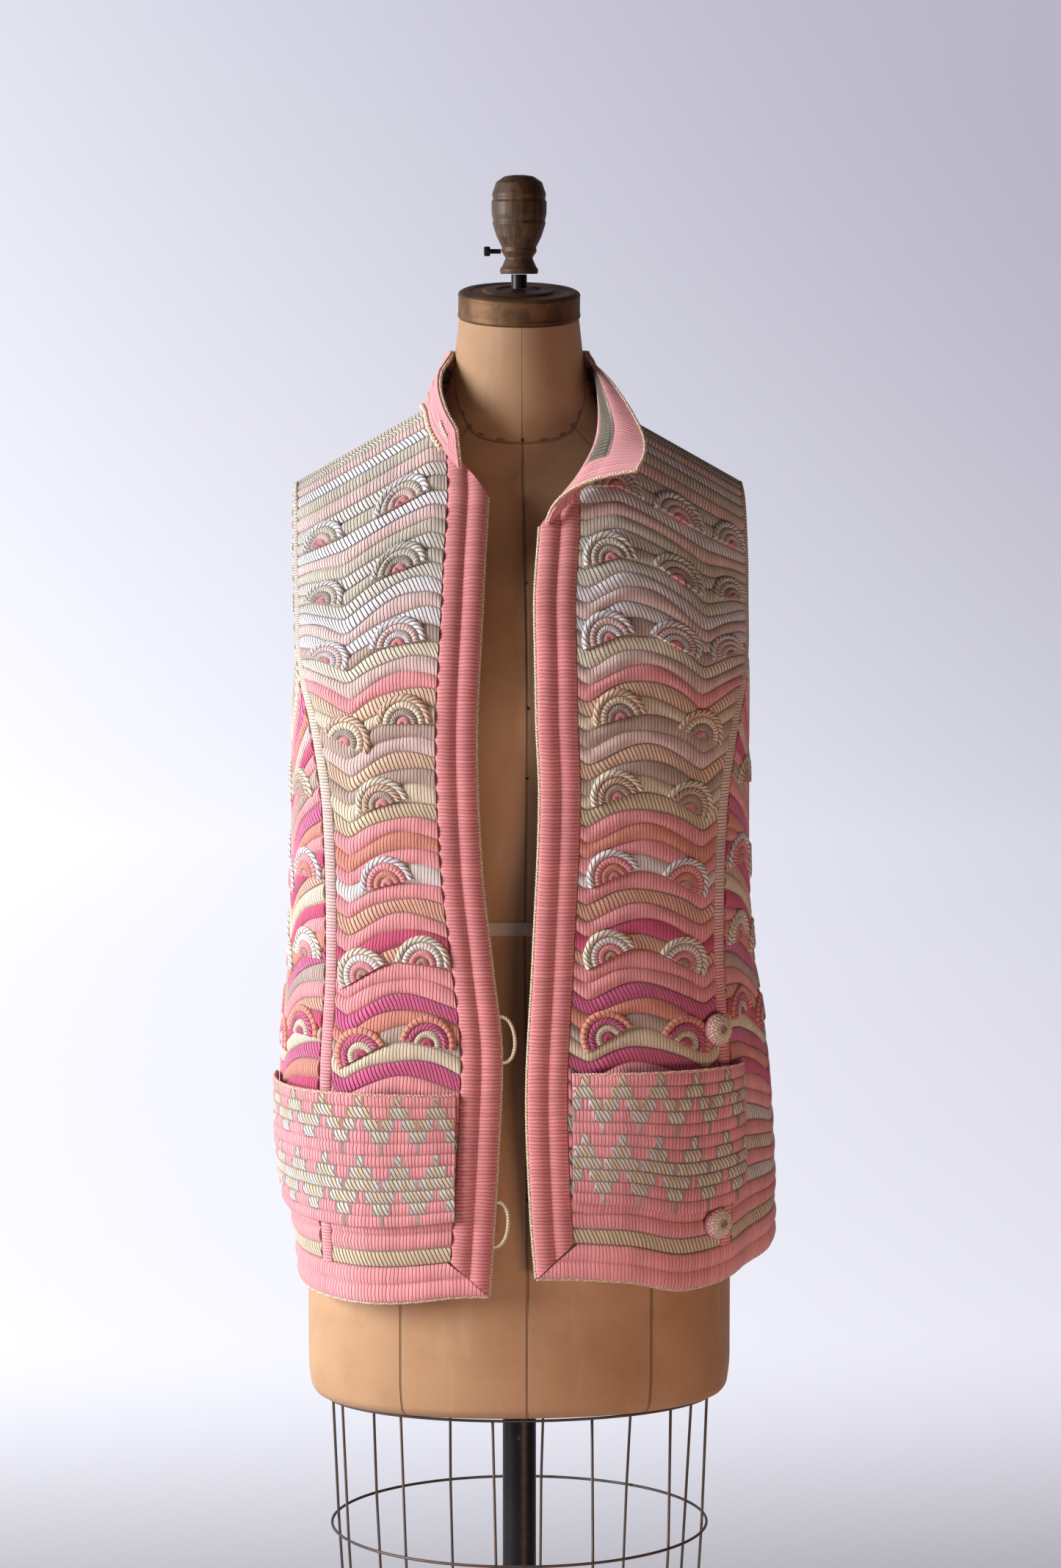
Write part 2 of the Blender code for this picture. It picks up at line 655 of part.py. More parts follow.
def turned(name, profile, material, steps, place=(0, 0, 0), axis=(0, 0, 1)):
    """A profile of (height, radius) pairs, top to bottom, screwed round the given axis."""
    mesh = bpy.data.meshes.new(name)
    ends = [(profile[0][0], 0.0)] + list(profile) + [(profile[-1][0], 0.0)]
    points = [(radius, 0, height) for height, radius in ends]
    mesh.from_pydata(points, [(i, i + 1) for i in range(len(points) - 1)], [])
    item = add_object(name, mesh, material, angle=35)
    item.location = place
    item.rotation_mode = "QUATERNION"
    item.rotation_quaternion = Vector(axis).to_track_quat("Z", "Y")
    screw = item.modifiers.new("turned", "SCREW")
    screw.steps = steps
    screw.render_steps = steps
    screw.use_merge_vertices = True
    screw.merge_threshold = 0.00001
    screw.use_smooth_shade = True
    return item


def rod(name, points, radius, material, resolution=2, closed=False):
    """A round wire or rod along straight runs between points."""
    curve = bpy.data.curves.new(name, "CURVE")
    curve.dimensions = "3D"
    curve.bevel_depth = radius
    curve.bevel_resolution = resolution
    curve.render_resolution_u = 0
    curve.use_fill_caps = not closed
    spline = curve.splines.new("POLY")
    spline.points.add(len(points) - 1)
    for place, point in zip(spline.points, points):
        place.co = (*point, 1)
    spline.use_cyclic_u = closed
    return add_object(name, curve, material)


def make_button(name, level, material):
    """A crocheted dome on the wearer's left front, its shank side just clear of the cloth."""
    girth = np.array(girth_at_x(BUTTON_X, level))
    normal = vest_normal(girth, np.array(level))
    seat = CLOTH_THICK + RIB_RAISE + BUTTON_SEAT
    place = vest_point(girth, np.array(level)) + normal * seat
    turns = np.linspace(math.pi / 2 * 0.8, 0, 5)
    dome = [(0.0035 + 0.0055 * math.sin(t), BUTTON_RADIUS * math.cos(t)) for t in turns]
    foot = [(0.0, BUTTON_RADIUS * 0.72)]
    turned(name, dome + foot, material, 18, tuple(place), tuple(normal))


def make_loop(name, level, material):
    """A braided cord that leaves the right front edge, bows out and comes back to it."""
    turn = np.linspace(0, math.pi, LOOP_STEPS + 1)
    levels = level + LOOP_HEIGHT / 2 * np.cos(turn)
    middle = vest_point(girth_at_x(right_edge(levels), levels), levels)
    points = middle + np.stack([LOOP_REACH * np.sin(turn) ** 0.8, 0 * turn, 0 * turn], axis=-1)
    points[:, 0] += LOOP_CORD / 2 + SEAM_GAP
    points[[0, -1], 0] = middle[[0, -1], 0] + 2 * SEAM_GAP
    points[:, 1] -= CLOTH_THICK / 2
    rod(name, points.tolist(), LOOP_CORD / 2, material)


def make_form(material):
    """The torso: rounded sections from the closed bottom to the neck, with flat caps."""
    read = [curve_of(FORM_SECTIONS, FORM_SECTION_COLUMNS, name) for name in FORM_SECTION_COLUMNS[1:]]
    heights = np.array([row[0] for row in FORM_SECTIONS])
    between = (heights[3:-1] + heights[4:]) / 2
    wide = np.diff(heights[3:]) > 0.036
    heights = np.sort(np.concatenate([heights, between[wide]]))[:, None]
    half, front, back, square = [curve(heights) for curve in read]
    turn = np.linspace(0, 2 * math.pi, FORM_COLUMNS, endpoint=False)
    across, forward = section_point(turn, square)
    depth = np.where(forward > 0, front, back)
    tilted = np.clip((heights - NECK_SEAM) / (NECK_TOP - NECK_SEAM), 0, 1) * math.tan(CAP_TILT)
    points = np.stack([half * across, -depth * forward, heights - tilted * depth * forward], axis=-1)
    index = np.arange(points.shape[0] * FORM_COLUMNS).reshape(-1, FORM_COLUMNS)
    faces = grid_faces(np.concatenate([index, index[:, :1]], axis=1))
    faces += [tuple(int(v) for v in index[0][::-1]), tuple(int(v) for v in index[-1])]
    mesh = bpy.data.meshes.new("form_torso")
    mesh.from_pydata(points.reshape(-1, 3).tolist(), [], faces)
    add_object("form_torso", mesh, material, angle=50)


def make_neck_parts(brass, wood, iron):
    """Cap on the neck, the rod above it, the turned finial and its thumb screw."""
    tilt = Vector((0, -math.sin(CAP_TILT), math.cos(CAP_TILT)))
    cap_foot = Vector((0, 0, NECK_TOP + 2 * SEAM_GAP))
    bead = 0.0012
    cap = [(CAP_HEIGHT, 0.016), (CAP_HEIGHT + bead, 0.018), (CAP_HEIGHT + bead, 0.026),
           (CAP_HEIGHT - bead / 2, 0.028), (CAP_HEIGHT - bead / 2, 0.036), (CAP_HEIGHT, 0.038),
           (CAP_HEIGHT, CAP_RADIUS - bead), (CAP_HEIGHT - bead, CAP_RADIUS + bead / 2),
           (CAP_HEIGHT - 3 * bead, CAP_RADIUS), (2 * bead, CAP_RADIUS), (0, CAP_RADIUS + bead / 2)]
    turned("neck_cap", cap, brass, 24, tuple(cap_foot), tuple(tilt))
    rod_foot = cap_foot.z + CAP_HEIGHT / math.cos(CAP_TILT) + ROD_RADIUS * math.tan(CAP_TILT) + SEAM_GAP
    finial_foot = rod_foot + 0.011
    rod("neck_rod", [(0, 0, rod_foot), (0, 0, finial_foot - SEAM_GAP)], ROD_RADIUS, iron, 3)
    turned("finial", FINIAL, wood, 18, (0, 0, finial_foot))
    screw_height, reach = FINIAL[SCREW_ROW]
    screw = [(0.0130, 0.0020), (0.0125, 0.0036), (0.0085, 0.0036), (0.0080, 0.0018), (0.0, 0.0018)]
    place = (-reach - SEAM_GAP, 0, finial_foot + screw_height)
    turned("finial_screw", screw, iron, 12, place, (-1, 0, 0))


def make_stand(iron, wire):
    """The pole, the round base, and the cage of hoops and upright wires round the pole."""
    bottom = FORM_SECTIONS[0][0]
    rod("pole", [(0, 0, 0.0610 + SEAM_GAP), (0, 0, bottom - SEAM_GAP)], POLE_RADIUS, iron, 4)
    base = [(0.0610, 0.0240), (0.0590, 0.0290), (0.0400, 0.0320), (0.0300, 0.0600), (0.0230, 0.1200),
            (0.0160, 0.1800), (0.0100, BASE_RADIUS - 0.003), (0.0060, BASE_RADIUS), (0.0, BASE_RADIUS)]
    turned("base", base, iron, 28)
    top = bottom - CAGE_WIRE / 2 - SEAM_GAP
    hoops = (("cage_hoop_top", top, 0.1500, 0.1040), ("cage_hoop_middle", 0.5410, 0.1455, 0.1410),
             ("cage_hoop_bottom", CAGE_BOTTOM, 0.1320, 0.1300))
    for name, height, across, deep in hoops:
        turn = [2 * math.pi * i / HOOP_RUNS for i in range(HOOP_RUNS)]
        points = [(across * math.sin(t), -deep * math.cos(t), height) for t in turn]
        rod(name, points, CAGE_WIRE / 2, wire, 1, closed=True)
    inset = 1.5 * CAGE_WIRE
    for i in range(CAGE_WIRES):
        t = CAGE_TURN + 2 * math.pi * i / CAGE_WIRES
        line = [((across - inset) * math.sin(t), -(deep - inset) * math.cos(t), height)
                for _, height, across, deep in hoops]
        line[-1] = (line[-1][0], line[-1][1], CAGE_BOTTOM - CAGE_WIRE)
        rod("cage_wire_%02d" % (i + 1), line, CAGE_WIRE / 2, wire, 1)


def main():
    for item in list(bpy.data.objects):
        bpy.data.objects.remove(item, do_unlink=True)
    collection = bpy.data.collections.new("crochet_vest")
    bpy.context.scene.collection.children.link(collection)
    body = new_material("crochet_body")
    pink = new_material("crochet_pink")
    side = new_material("crochet_side")
    pocket = new_material("crochet_pocket")
    cream = new_material("button_cream")
    linen = new_material("form_linen", 0.7)
    brass = new_material("old_brass", 0.4, 1.0)
    wood = new_material("turned_wood", 0.35)
    iron = new_material("black_iron", 0.35, 0.6)
    wire = new_material("cage_wire", 0.45, 0.9)
    make_fronts(body)
    make_sides(side)
    make_back(body)
    make_band("front_band_right", -1, pink)
    make_band("front_band_left", 1, pink)
    make_hem("hem_border_right", -1, pink)
    make_hem("hem_border_left", 1, pink)
    make_collar(pink)
    make_pocket("pocket_right", -1, pocket)
    make_pocket("pocket_left", 1, pocket)
    make_button("button_upper", 0.940, cream)
    make_button("button_lower", 0.7950, cream)
    make_loop("loop_upper", 0.938, cream)
    make_loop("loop_lower", 0.800, cream)
    make_form(linen)
    make_neck_parts(brass, wood, iron)
    make_stand(iron, wire)


main()
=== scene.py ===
"""The looks of a crochet vest on its dress form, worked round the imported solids.

Metres, +Z up, front towards -Y. The cloth is one smooth surface that is read from the same tables
as the solids: girth is the way round the body from the centre front, level the height at the middle
of the body. Each piece is a grid of such points, raised by the relief of its stitches.
"""
import math

import bpy
import numpy as np
from mathutils import Matrix, Vector


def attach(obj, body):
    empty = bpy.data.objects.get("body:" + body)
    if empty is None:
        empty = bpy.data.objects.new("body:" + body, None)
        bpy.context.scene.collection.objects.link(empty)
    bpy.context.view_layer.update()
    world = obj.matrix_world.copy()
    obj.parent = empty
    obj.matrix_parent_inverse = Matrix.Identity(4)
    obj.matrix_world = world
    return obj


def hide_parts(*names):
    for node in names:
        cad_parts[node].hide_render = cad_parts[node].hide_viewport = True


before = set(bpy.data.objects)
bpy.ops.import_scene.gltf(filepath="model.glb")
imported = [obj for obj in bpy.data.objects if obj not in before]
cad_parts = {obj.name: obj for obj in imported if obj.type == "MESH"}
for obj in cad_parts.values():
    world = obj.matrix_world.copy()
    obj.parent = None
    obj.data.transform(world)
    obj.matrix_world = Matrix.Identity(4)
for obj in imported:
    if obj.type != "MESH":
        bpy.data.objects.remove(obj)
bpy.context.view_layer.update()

# Cloth and seams, as in the solids
CLOTH_THICK = 0.0018
RIB_RAISE = 0.0020
SEAM_GAP = 0.0003
SHOULDER_TOP = 1.400
NECK_HALF = 0.069
SHOULDER_SLOPE = 0.56
UNDERARM = 1.175
HALF_GIRTH = 0.490
RIPPLE_WIDTH = HALF_GIRTH * 2 / 11
RIPPLE_HEIGHT = 0.021
HAND_WOBBLE = 0.075
RIPPLE_FADES_LOW = (0.790, 0.910)
RIPPLE_FADES_HIGH = (1.270, 1.350)
SEAM_FOOT = 0.78
EDGE_FOOT = 0.75
BAND_WIDTH = 0.030
HEM_WIDTH = 0.027
BORDER_RIB_RAISE = 0.0028
SIDE_SHARE = 28 / 42
BAND_SHARE = {-1: 38 / 42, 1: 36 / 42}

# Courses of crochet
COURSES = 57
COURSE_LINES = np.array((0.02, 0.11, 0.29, 0.50, 0.71, 0.89, 0.98))
FRONT_COLUMNS = 30
SIDE_COLUMNS = 36
BACK_COLUMNS = 88
STRIP_WIDTH = 0.0115
STRIP_LEVELS = (0.78, 0.95, 1.06, 1.20, 1.32)
STRIP_YARNS = "PPLES"
WOOL_CROWN = 0.0024
RAYON_CROWN = 0.0015
CROWN_POWER = 2.4

# Pockets
POCKET_RISE = 0.031
POCKET_GAPE = 0.0085
POCKET_COURSES = 11
POCKET_CROWN = 0.0016
ZIGZAG_WIDTH = 0.026
ZIGZAG_YARNS = "PPPsgsPPPsgPPPPPP"
POCKETS = {-1: (0.052, 0.238, 0.897), 1: (0.031, 0.168, 0.912)}

# Small parts and form
BUTTON_RADIUS = 0.0122
BUTTON_X = 0.140
BUTTON_SEAT = 0.0004
BUTTON_ROUNDS = 4
BUTTON_STITCHES = 18
LOOP_CORD = 0.0026
LOOP_HEIGHT = 0.034
LOOP_REACH = 0.0095
NECK_TOP = 1.472
NECK_SEAM = 1.415
CAP_HEIGHT = 0.020
CAP_RADIUS = 0.0462
CAP_TILT = math.radians(9)
WAIST_LEVEL = 1.0156
NAIL_LEVELS = (1.381, 1.276, 1.185, 1.132, 0.815)
POLE_RADIUS = 0.013
ROD_RADIUS = 0.006
BASE_RADIUS = 0.205
CAGE_WIRE = 0.0022
CAGE_WIRES = 12
CAGE_TURN = math.radians(-10)
CAGE_BOTTOM = 0.330
HOOP_STEPS = 160
WIRE_SIDES = 10

# Camera: pixels of the photograph, and metres
PHOTO_WIDTH = 1445
PHOTO_HEIGHT = 2135
FORM_AXIS_X = 707
FOCAL_PIXELS = 6700
CAMERA_AWAY = 3.75
CAMERA_LEVEL = 1.5

# Sweep of paper
FLOOR_NEAR = -10.0
FLOOR_FAR = 9.5
SWEEP_RADIUS = 2.5
WALL_TOP = 9.0
SWEEP_HALF = 14.0

# level, half width, front depth, back depth, squareness, share of the shoulder's slope
VEST = (
    (0.735, 0.1810, 0.1320, 0.1400, 2.6, 0.00),
    (0.800, 0.1820, 0.1330, 0.1420, 2.7, 0.00),
    (0.900, 0.1800, 0.1280, 0.1330, 2.8, 0.00),
    (1.000, 0.1725, 0.1190, 0.1150, 3.0, 0.00),
    (1.100, 0.1705, 0.1240, 0.1100, 3.1, 0.00),
    (1.190, 0.1700, 0.1310, 0.1120, 3.2, 0.10),
    (1.260, 0.1705, 0.1150, 0.1120, 3.4, 0.50),
    (1.310, 0.1710, 0.0930, 0.1040, 3.4, 0.78),
    (1.340, 0.1715, 0.0780, 0.0950, 3.4, 0.92),
    (1.370, 0.1715, 0.0560, 0.0820, 3.4, 1.00),
    (1.385, 0.1715, 0.0390, 0.0700, 3.4, 1.00),
    (1.393, 0.1715, 0.0250, 0.0560, 3.4, 1.00),
    (1.398, 0.1715, 0.0100, 0.0250, 3.4, 1.00),
    (1.400, 0.1715, 0.0005, 0.0005, 3.4, 1.00),
)

# girth, out, half span, level where the fold starts, level where it is full
FOLDS = (
    (0.255, 0.013, 0.070, 1.080, 0.800),
    (0.185, -0.007, 0.022, 1.100, 0.880),
    (-0.255, -0.016, 0.080, 0.860, 0.740),
    (-0.120, 0.003, 0.030, 1.000, 0.800),
    (0.340, -0.005, 0.030, 1.050, 0.780),
    (0.410, 0.005, 0.034, 1.050, 0.780),
    (-0.350, 0.005, 0.034, 1.050, 0.780),
    (-0.420, -0.004, 0.030, 1.050, 0.780),
)

# level, x of the front edges
RIGHT_EDGE = (
    (0.745, -0.0300), (0.852, -0.0234), (0.923, -0.0204), (0.993, -0.0271),
    (1.070, -0.0354), (1.160, -0.0390), (1.273, -0.0330), (1.340, -0.0277),
)
LEFT_EDGE = (
    (0.758, 0.0061), (0.807, 0.0022), (0.890, -0.0007), (0.998, 0.0047),
    (1.120, 0.0091), (1.183, 0.0065), (1.255, 0.0060), (1.318, 0.0110),
)

# level, distance of the neckline from the middle
RIGHT_NECKLINE = (
    (1.3380, 0.0280), (1.3575, 0.0470), (1.3700, 0.0580), (1.3850, 0.0660), (1.4000, 0.0690),
)
LEFT_NECKLINE = (
    (1.3180, 0.0155), (1.3400, 0.0400), (1.3600, 0.0560), (1.3850, 0.0660), (1.4000, 0.0690),
)
BACK_NECK_LEVEL = 1.3935

# level, share of the half width where the princess seam runs
PRINCESS = (
    (0.735, 0.840), (1.000, 0.860), (1.100, 0.880), (1.170, 0.930),
    (1.210, 0.970), (1.260, 0.985), (1.400, 0.985),
)

# girth, level of the lower edge
HEM = (
    (-0.490, 0.752), (-0.360, 0.748), (-0.230, 0.744), (-0.120, 0.739),
    (-0.030, 0.748), (0.006, 0.759), (0.070, 0.755), (0.115, 0.746),
    (0.180, 0.755), (0.250, 0.766), (0.360, 0.758), (0.490, 0.752),
)

# station, heading, bend outward, bend upward, top outward, top upward
COLLAR = (
    (-1.00, 70, 0.002, 0.016, 0.003, 0.029),
    (-0.72, 70, -0.002, 0.020, -0.007, 0.036),
    (-0.50, 90, -0.006, 0.022, -0.020, 0.040),
    (-0.25, 140, 0.001, 0.024, -0.006, 0.045),
    (0.00, 180, 0.002, 0.024, -0.004, 0.046),
    (0.25, 140, 0.001, 0.024, -0.006, 0.045),
    (0.50, 90, -0.012, 0.031, -0.019, 0.039),
    (0.66, 70, -0.022, 0.044, 0.003, 0.031),
    (0.82, 70, -0.012, 0.042, 0.033, 0.026),
    (1.00, 75, 0.004, 0.032, 0.068, 0.040),
)

# height, half width, front depth, back depth, squareness of the linen torso
FORM_SECTIONS = (
    (0.6450, 0.1500, 0.1020, 0.1060, 2.2),
    (0.6475, 0.1570, 0.1100, 0.1140, 2.2),
    (0.6540, 0.1610, 0.1150, 0.1180, 2.2),
    (0.6750, 0.1630, 0.1170, 0.1210, 2.2),
    (0.7600, 0.1630, 0.1180, 0.1240, 2.2),
    (0.8200, 0.1610, 0.1160, 0.1250, 2.2),
    (0.9200, 0.1380, 0.1000, 0.1030, 2.2),
    (1.0090, 0.1140, 0.0850, 0.0760, 2.2),
    (1.1000, 0.1320, 0.1040, 0.0880, 2.2),
    (1.1800, 0.1480, 0.1200, 0.0970, 2.2),
    (1.2300, 0.1620, 0.1120, 0.0970, 2.3),
    (1.2700, 0.1690, 0.0980, 0.0940, 2.4),
    (1.3050, 0.1715, 0.0760, 0.0860, 2.1),
    (1.3300, 0.1705, 0.0620, 0.0740, 1.9),
    (1.3440, 0.1640, 0.0560, 0.0640, 1.6),
    (1.3600, 0.1385, 0.0500, 0.0580, 1.4),
    (1.3800, 0.1035, 0.0490, 0.0520, 1.3),
    (1.3930, 0.0770, 0.0480, 0.0490, 1.4),
    (1.4020, 0.0625, 0.0475, 0.0480, 1.8),
    (1.4150, 0.0560, 0.0470, 0.0480, 2.0),
    (1.4350, 0.0500, 0.0460, 0.0465, 2.0),
    (1.4720, 0.0455, 0.0455, 0.0455, 2.0),
)

# height above the rod, radius
FINIAL = (
    (0.0745, 0.0045), (0.0735, 0.0110), (0.0690, 0.0175), (0.0600, 0.0205),
    (0.0560, 0.0198), (0.0545, 0.0210), (0.0450, 0.0208), (0.0400, 0.0196),
    (0.0385, 0.0203), (0.0280, 0.0170), (0.0200, 0.0130), (0.0170, 0.0135),
    (0.0120, 0.0102), (0.0060, 0.0128), (0.0030, 0.0148), (0.0000, 0.0140),
)

# Yarns by letter: capitals are matt wool, small letters lustrous rayon
YARNS = {
    "S": (0.53, 0.48, 0.40), "s": (0.61, 0.57, 0.52),
    "W": (0.70, 0.64, 0.62), "w": (0.72, 0.68, 0.71),
    "P": (0.77, 0.31, 0.33), "p": (0.74, 0.44, 0.44),
    "L": (0.66, 0.49, 0.46), "l": (0.65, 0.53, 0.52),
    "C": (0.66, 0.26, 0.20), "c": (0.68, 0.36, 0.26),
    "M": (0.56, 0.085, 0.18), "m": (0.60, 0.10, 0.24),
    "A": (0.70, 0.43, 0.31), "a": (0.68, 0.46, 0.33),
    "E": (0.68, 0.58, 0.44), "e": (0.72, 0.65, 0.51),
    "G": (0.45, 0.35, 0.22), "g": (0.62, 0.49, 0.33),
    "T": (0.45, 0.34, 0.29), "t": (0.44, 0.35, 0.31),
    "K": (0.14, 0.11, 0.07),
}
BODY_COURSES = "gPPsPgPsPP" + "PmETCmPPcMP" + "cPWPCPg" + "ETaLTEaPLeT" + "wLwsSsSL" + "wSsLSwLSsS"
SIDE_COURSES = "gPPsPgPsPP" + "MCmEMcPTmCPMEcMPCmPTPMLCmPES"

# Shells: the course that each row stands on, with the yarns of a fan from its core outward
SHELL_ROWS = (
    (13, "MEmC"), (18, "cPWe"), (23, "PCPw"), (28, "PTae"),
    (33, "PtEa"), (38, "PwLw"), (43, "PtSs"), (48, "PLSw"),
)
SIDE_SHELL_ROWS = SHELL_ROWS[:4]
SHELL_RINGS = 4
SHELL_LINES = np.array((0.03, 0.16, 0.50, 0.84, 0.97))
SHELL_CROWN = 0.0021
SHELL_RADIUS = 0.0205
SHELL_STRETCH = 1.08
SHELL_SPACING = 2.1
SLOPE_STEP = 0.004


def smooth_curve(rows, column):
    """A curve without overshoot through one column of a table, read by the table's first column."""
    table = np.array(rows, dtype=float)
    at, value = table[:, 0], table[:, column]
    step = np.diff(at)
    rise = np.diff(value) / step
    same_way = rise[:-1] * rise[1:] > 0
    mean = 2 * rise[:-1] * rise[1:] / np.where(same_way, rise[:-1] + rise[1:], 1)
    slope = np.concatenate([rise[:1], np.where(same_way, mean, 0), rise[-1:]])

    def read(x):
        x = np.clip(x, at[0], at[-1])
        i = np.clip(np.searchsorted(at, x) - 1, 0, len(at) - 2)
        t = (x - at[i]) / step[i]
        first = value[i] * (1 + 2 * t) + slope[i] * step[i] * t
        second = value[i + 1] * (3 - 2 * t) - slope[i + 1] * step[i] * (1 - t)
        return first * (1 - t) ** 2 + second * t ** 2
    return read


half_width, front_depth, back_depth, squareness, shoulder_share = [
    smooth_curve(VEST, i) for i in range(1, 6)]
princess_share = smooth_curve(PRINCESS, 1)
hem_level = smooth_curve(HEM, 1)
FRONT_EDGE = {-1: smooth_curve(RIGHT_EDGE, 1), 1: smooth_curve(LEFT_EDGE, 1)}
NECKLINE = {-1: smooth_curve(RIGHT_NECKLINE, 1), 1: smooth_curve(LEFT_NECKLINE, 1)}
EDGE_TOP = {-1: RIGHT_EDGE[-1][0], 1: LEFT_EDGE[-1][0]}


def section_point(turn, square):
    """The unit section at an angle from the front: across and forward, on a rounded square."""
    reach = (np.abs(np.sin(turn)) ** square + np.abs(np.cos(turn)) ** square) ** (-1 / square)
    return reach * np.sin(turn), reach * np.cos(turn)


def girth_tables(half=0.175, depth=0.120, square=3.0, samples=1441):
    """Angles round a nominal section, with the girth at each, scaled to HALF_GIRTH."""
    turn = np.linspace(0, math.pi, samples)
    across, forward = section_point(turn, square)
    length = np.hypot(np.diff(across * half), np.diff(forward * depth))
    girth = np.concatenate([[0], np.cumsum(length)])
    return turn, girth * HALF_GIRTH / girth[-1]


def length_tables(samples=1331):
    """Levels, with the length up the cloth at each, as a mean of its front and its back."""
    level = np.linspace(VEST[0][0], SHOULDER_TOP, samples)
    depth = (front_depth(level) + back_depth(level)) / 2
    length = np.cumsum(np.hypot(np.diff(level), np.diff(depth)))
    return level, np.concatenate([[0], length])


TURNS, GIRTHS = girth_tables()
LEVELS, LENGTHS = length_tables()


def wrapped(girth):
    """The same place round the body, between the two sides of the centre back."""
    return (girth + HALF_GIRTH) % (2 * HALF_GIRTH) - HALF_GIRTH


def girth_at_share(share, level, back=False):
    """The girth where a section has this share of its half width, on the front or the back."""
    share = np.clip(share, -1, 1)
    square = squareness(level)
    forward = (1 - np.abs(share) ** square) ** (1 / square)
    turn = np.arctan2(np.abs(share), -forward if back else forward)
    return np.where(share < 0, -1, 1) * np.interp(turn, TURNS, GIRTHS)


def girth_at_x(x, level):
    """The girth where the front of a section is this far across from the middle."""
    return girth_at_share(x / half_width(level), level)


def vest_point(girth, level):
    """The cloth's inner face: a rounded square section pushed out by bells for the folds, with its
    height lowered outward along the shoulder."""
    girth, level = np.broadcast_arrays(np.asarray(girth, float), np.asarray(level, float))
    square = squareness(level)
    place = wrapped(girth)
    across, forward = section_point(np.sign(place) * np.interp(np.abs(place), GIRTHS, TURNS), square)
    half = half_width(level)
    depth = np.where(forward > 0, front_depth(level), back_depth(level))
    lean_x = np.sign(across) * np.abs(across) ** (square - 1) / half
    lean_y = -np.sign(forward) * np.abs(forward) ** (square - 1) / depth
    out = np.zeros(girth.shape)
    for centre, deep, span, start, full in FOLDS:
        grown = np.clip((start - level) / (start - full), 0, 1)
        out = out + deep * grown ** 2 * (3 - 2 * grown) * np.exp(-(wrapped(girth - centre) / span) ** 2)
    out = out / np.hypot(lean_x, lean_y)
    drop = shoulder_share(level) * SHOULDER_SLOPE * np.clip(np.abs(half * across) - NECK_HALF, 0, None)
    return np.stack([half * across + lean_x * out, lean_y * out - depth * forward, level - drop], axis=-1)


def unit(vectors):
    """The same directions with length 1."""
    return vectors / np.linalg.norm(vectors, axis=-1, keepdims=True)


def vest_normal(girth, level, step=0.0008):
    """Outward direction of the cloth, from two short steps along it."""
    upper = np.minimum(level + step, SHOULDER_TOP)
    along = vest_point(girth + step, level) - vest_point(girth - step, level)
    return unit(np.cross(along, vest_point(girth, upper) - vest_point(girth, level - step)))


def raised(girth, level, height):
    """Points at a height over the cloth's inner face."""
    return vest_point(girth, level) + vest_normal(girth, level) * np.asarray(height)[..., None]


def rippled(girth, level):
    """The level moved up and down: round crests, narrow valleys, faded at the hem and the shoulder."""
    away = np.abs(wrapped(girth)) - RIPPLE_WIDTH
    wave = (np.cos(math.pi * away / RIPPLE_WIDTH) ** 2 + 0.02) ** 0.4 - 0.5
    wave = wave + HAND_WOBBLE * np.sin(away * 97 + level * 53) * np.cos(level * 151 + away * 29)
    low = np.interp(level, RIPPLE_FADES_LOW, (0, 1))
    return level + RIPPLE_HEIGHT * low * np.interp(level, RIPPLE_FADES_HIGH, (1, 0)) * wave


def level_at(girth, share, top=SHOULDER_TOP):
    """The level at a share of the cloth's length between the hem border and the top."""
    low = np.interp(hem_level(wrapped(girth)) + HEM_WIDTH + SEAM_GAP, LEVELS, LENGTHS)
    high = np.interp(top, LEVELS, LENGTHS)
    return np.interp(low + (high - low) * share, LENGTHS, LEVELS)


def band_inner_girth(side, level):
    """The seam between a front band and its front panel, and the neckline above the band."""
    x = np.maximum(NECKLINE[side](level), side * FRONT_EDGE[side](level) + BAND_WIDTH)
    return girth_at_x(side * x, level)


def princess_girth(side, level, back=False):
    """The seam between a front or the back and a side panel, at its share of the half width."""
    return girth_at_share(side * princess_share(level), level, back)


def underarm_level(side, share):
    """The side panel's top edge: lowest in the middle, rising to the body's own course at both seams."""
    front = level_at(princess_girth(side, SEAM_FOOT), SIDE_SHARE)
    back = level_at(princess_girth(side, SEAM_FOOT, back=True), SIDE_SHARE)
    first, last = (front, back) if side > 0 else (back, front)
    seam = first + (last - first) * share
    return UNDERARM + (seam - UNDERARM) * (2 * share - 1) ** 2


def back_top(share):
    """The shoulder seams at both ends of the back, and between them the neckline: the level
    rises with the fourth power of the distance from the middle, found by halving the error."""
    neck = SHOULDER_TOP + 0 * share
    for _ in range(16):
        first, last = BACK[0](neck), BACK[1](neck)
        x = np.abs(vest_point(first + (last - first) * share, neck)[..., 0])
        rise = np.clip(x / NECK_HALF, 0, 1) ** 4
        neck = (neck + BACK_NECK_LEVEL + (SHOULDER_TOP - BACK_NECK_LEVEL) * rise) / 2
    return neck


# Mesh making

def add_piece(name, points, faces, material, replaces=(), angle=50):
    """A mesh from points and faces, riding on the part's one body."""
    mesh = bpy.data.meshes.new(name)
    mesh.from_pydata(np.asarray(points).reshape(-1, 3), [], faces)
    mesh.materials.append(material)
    mesh.shade_smooth()
    mesh.set_sharp_from_angle(angle=math.radians(angle))
    item = bpy.data.objects.new(name, mesh)
    bpy.context.scene.collection.objects.link(item)
    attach(item, "root")
    if replaces:
        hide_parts(*replaces)
    return item


def store_stitch(item, stitch):
    """Stores each point's place in the stitches: along, across, lustre."""
    place = item.data.attributes.new("stitch", "FLOAT_VECTOR", "POINT")
    place.data.foreach_set("vector", np.asarray(stitch, np.float32).reshape(-1))


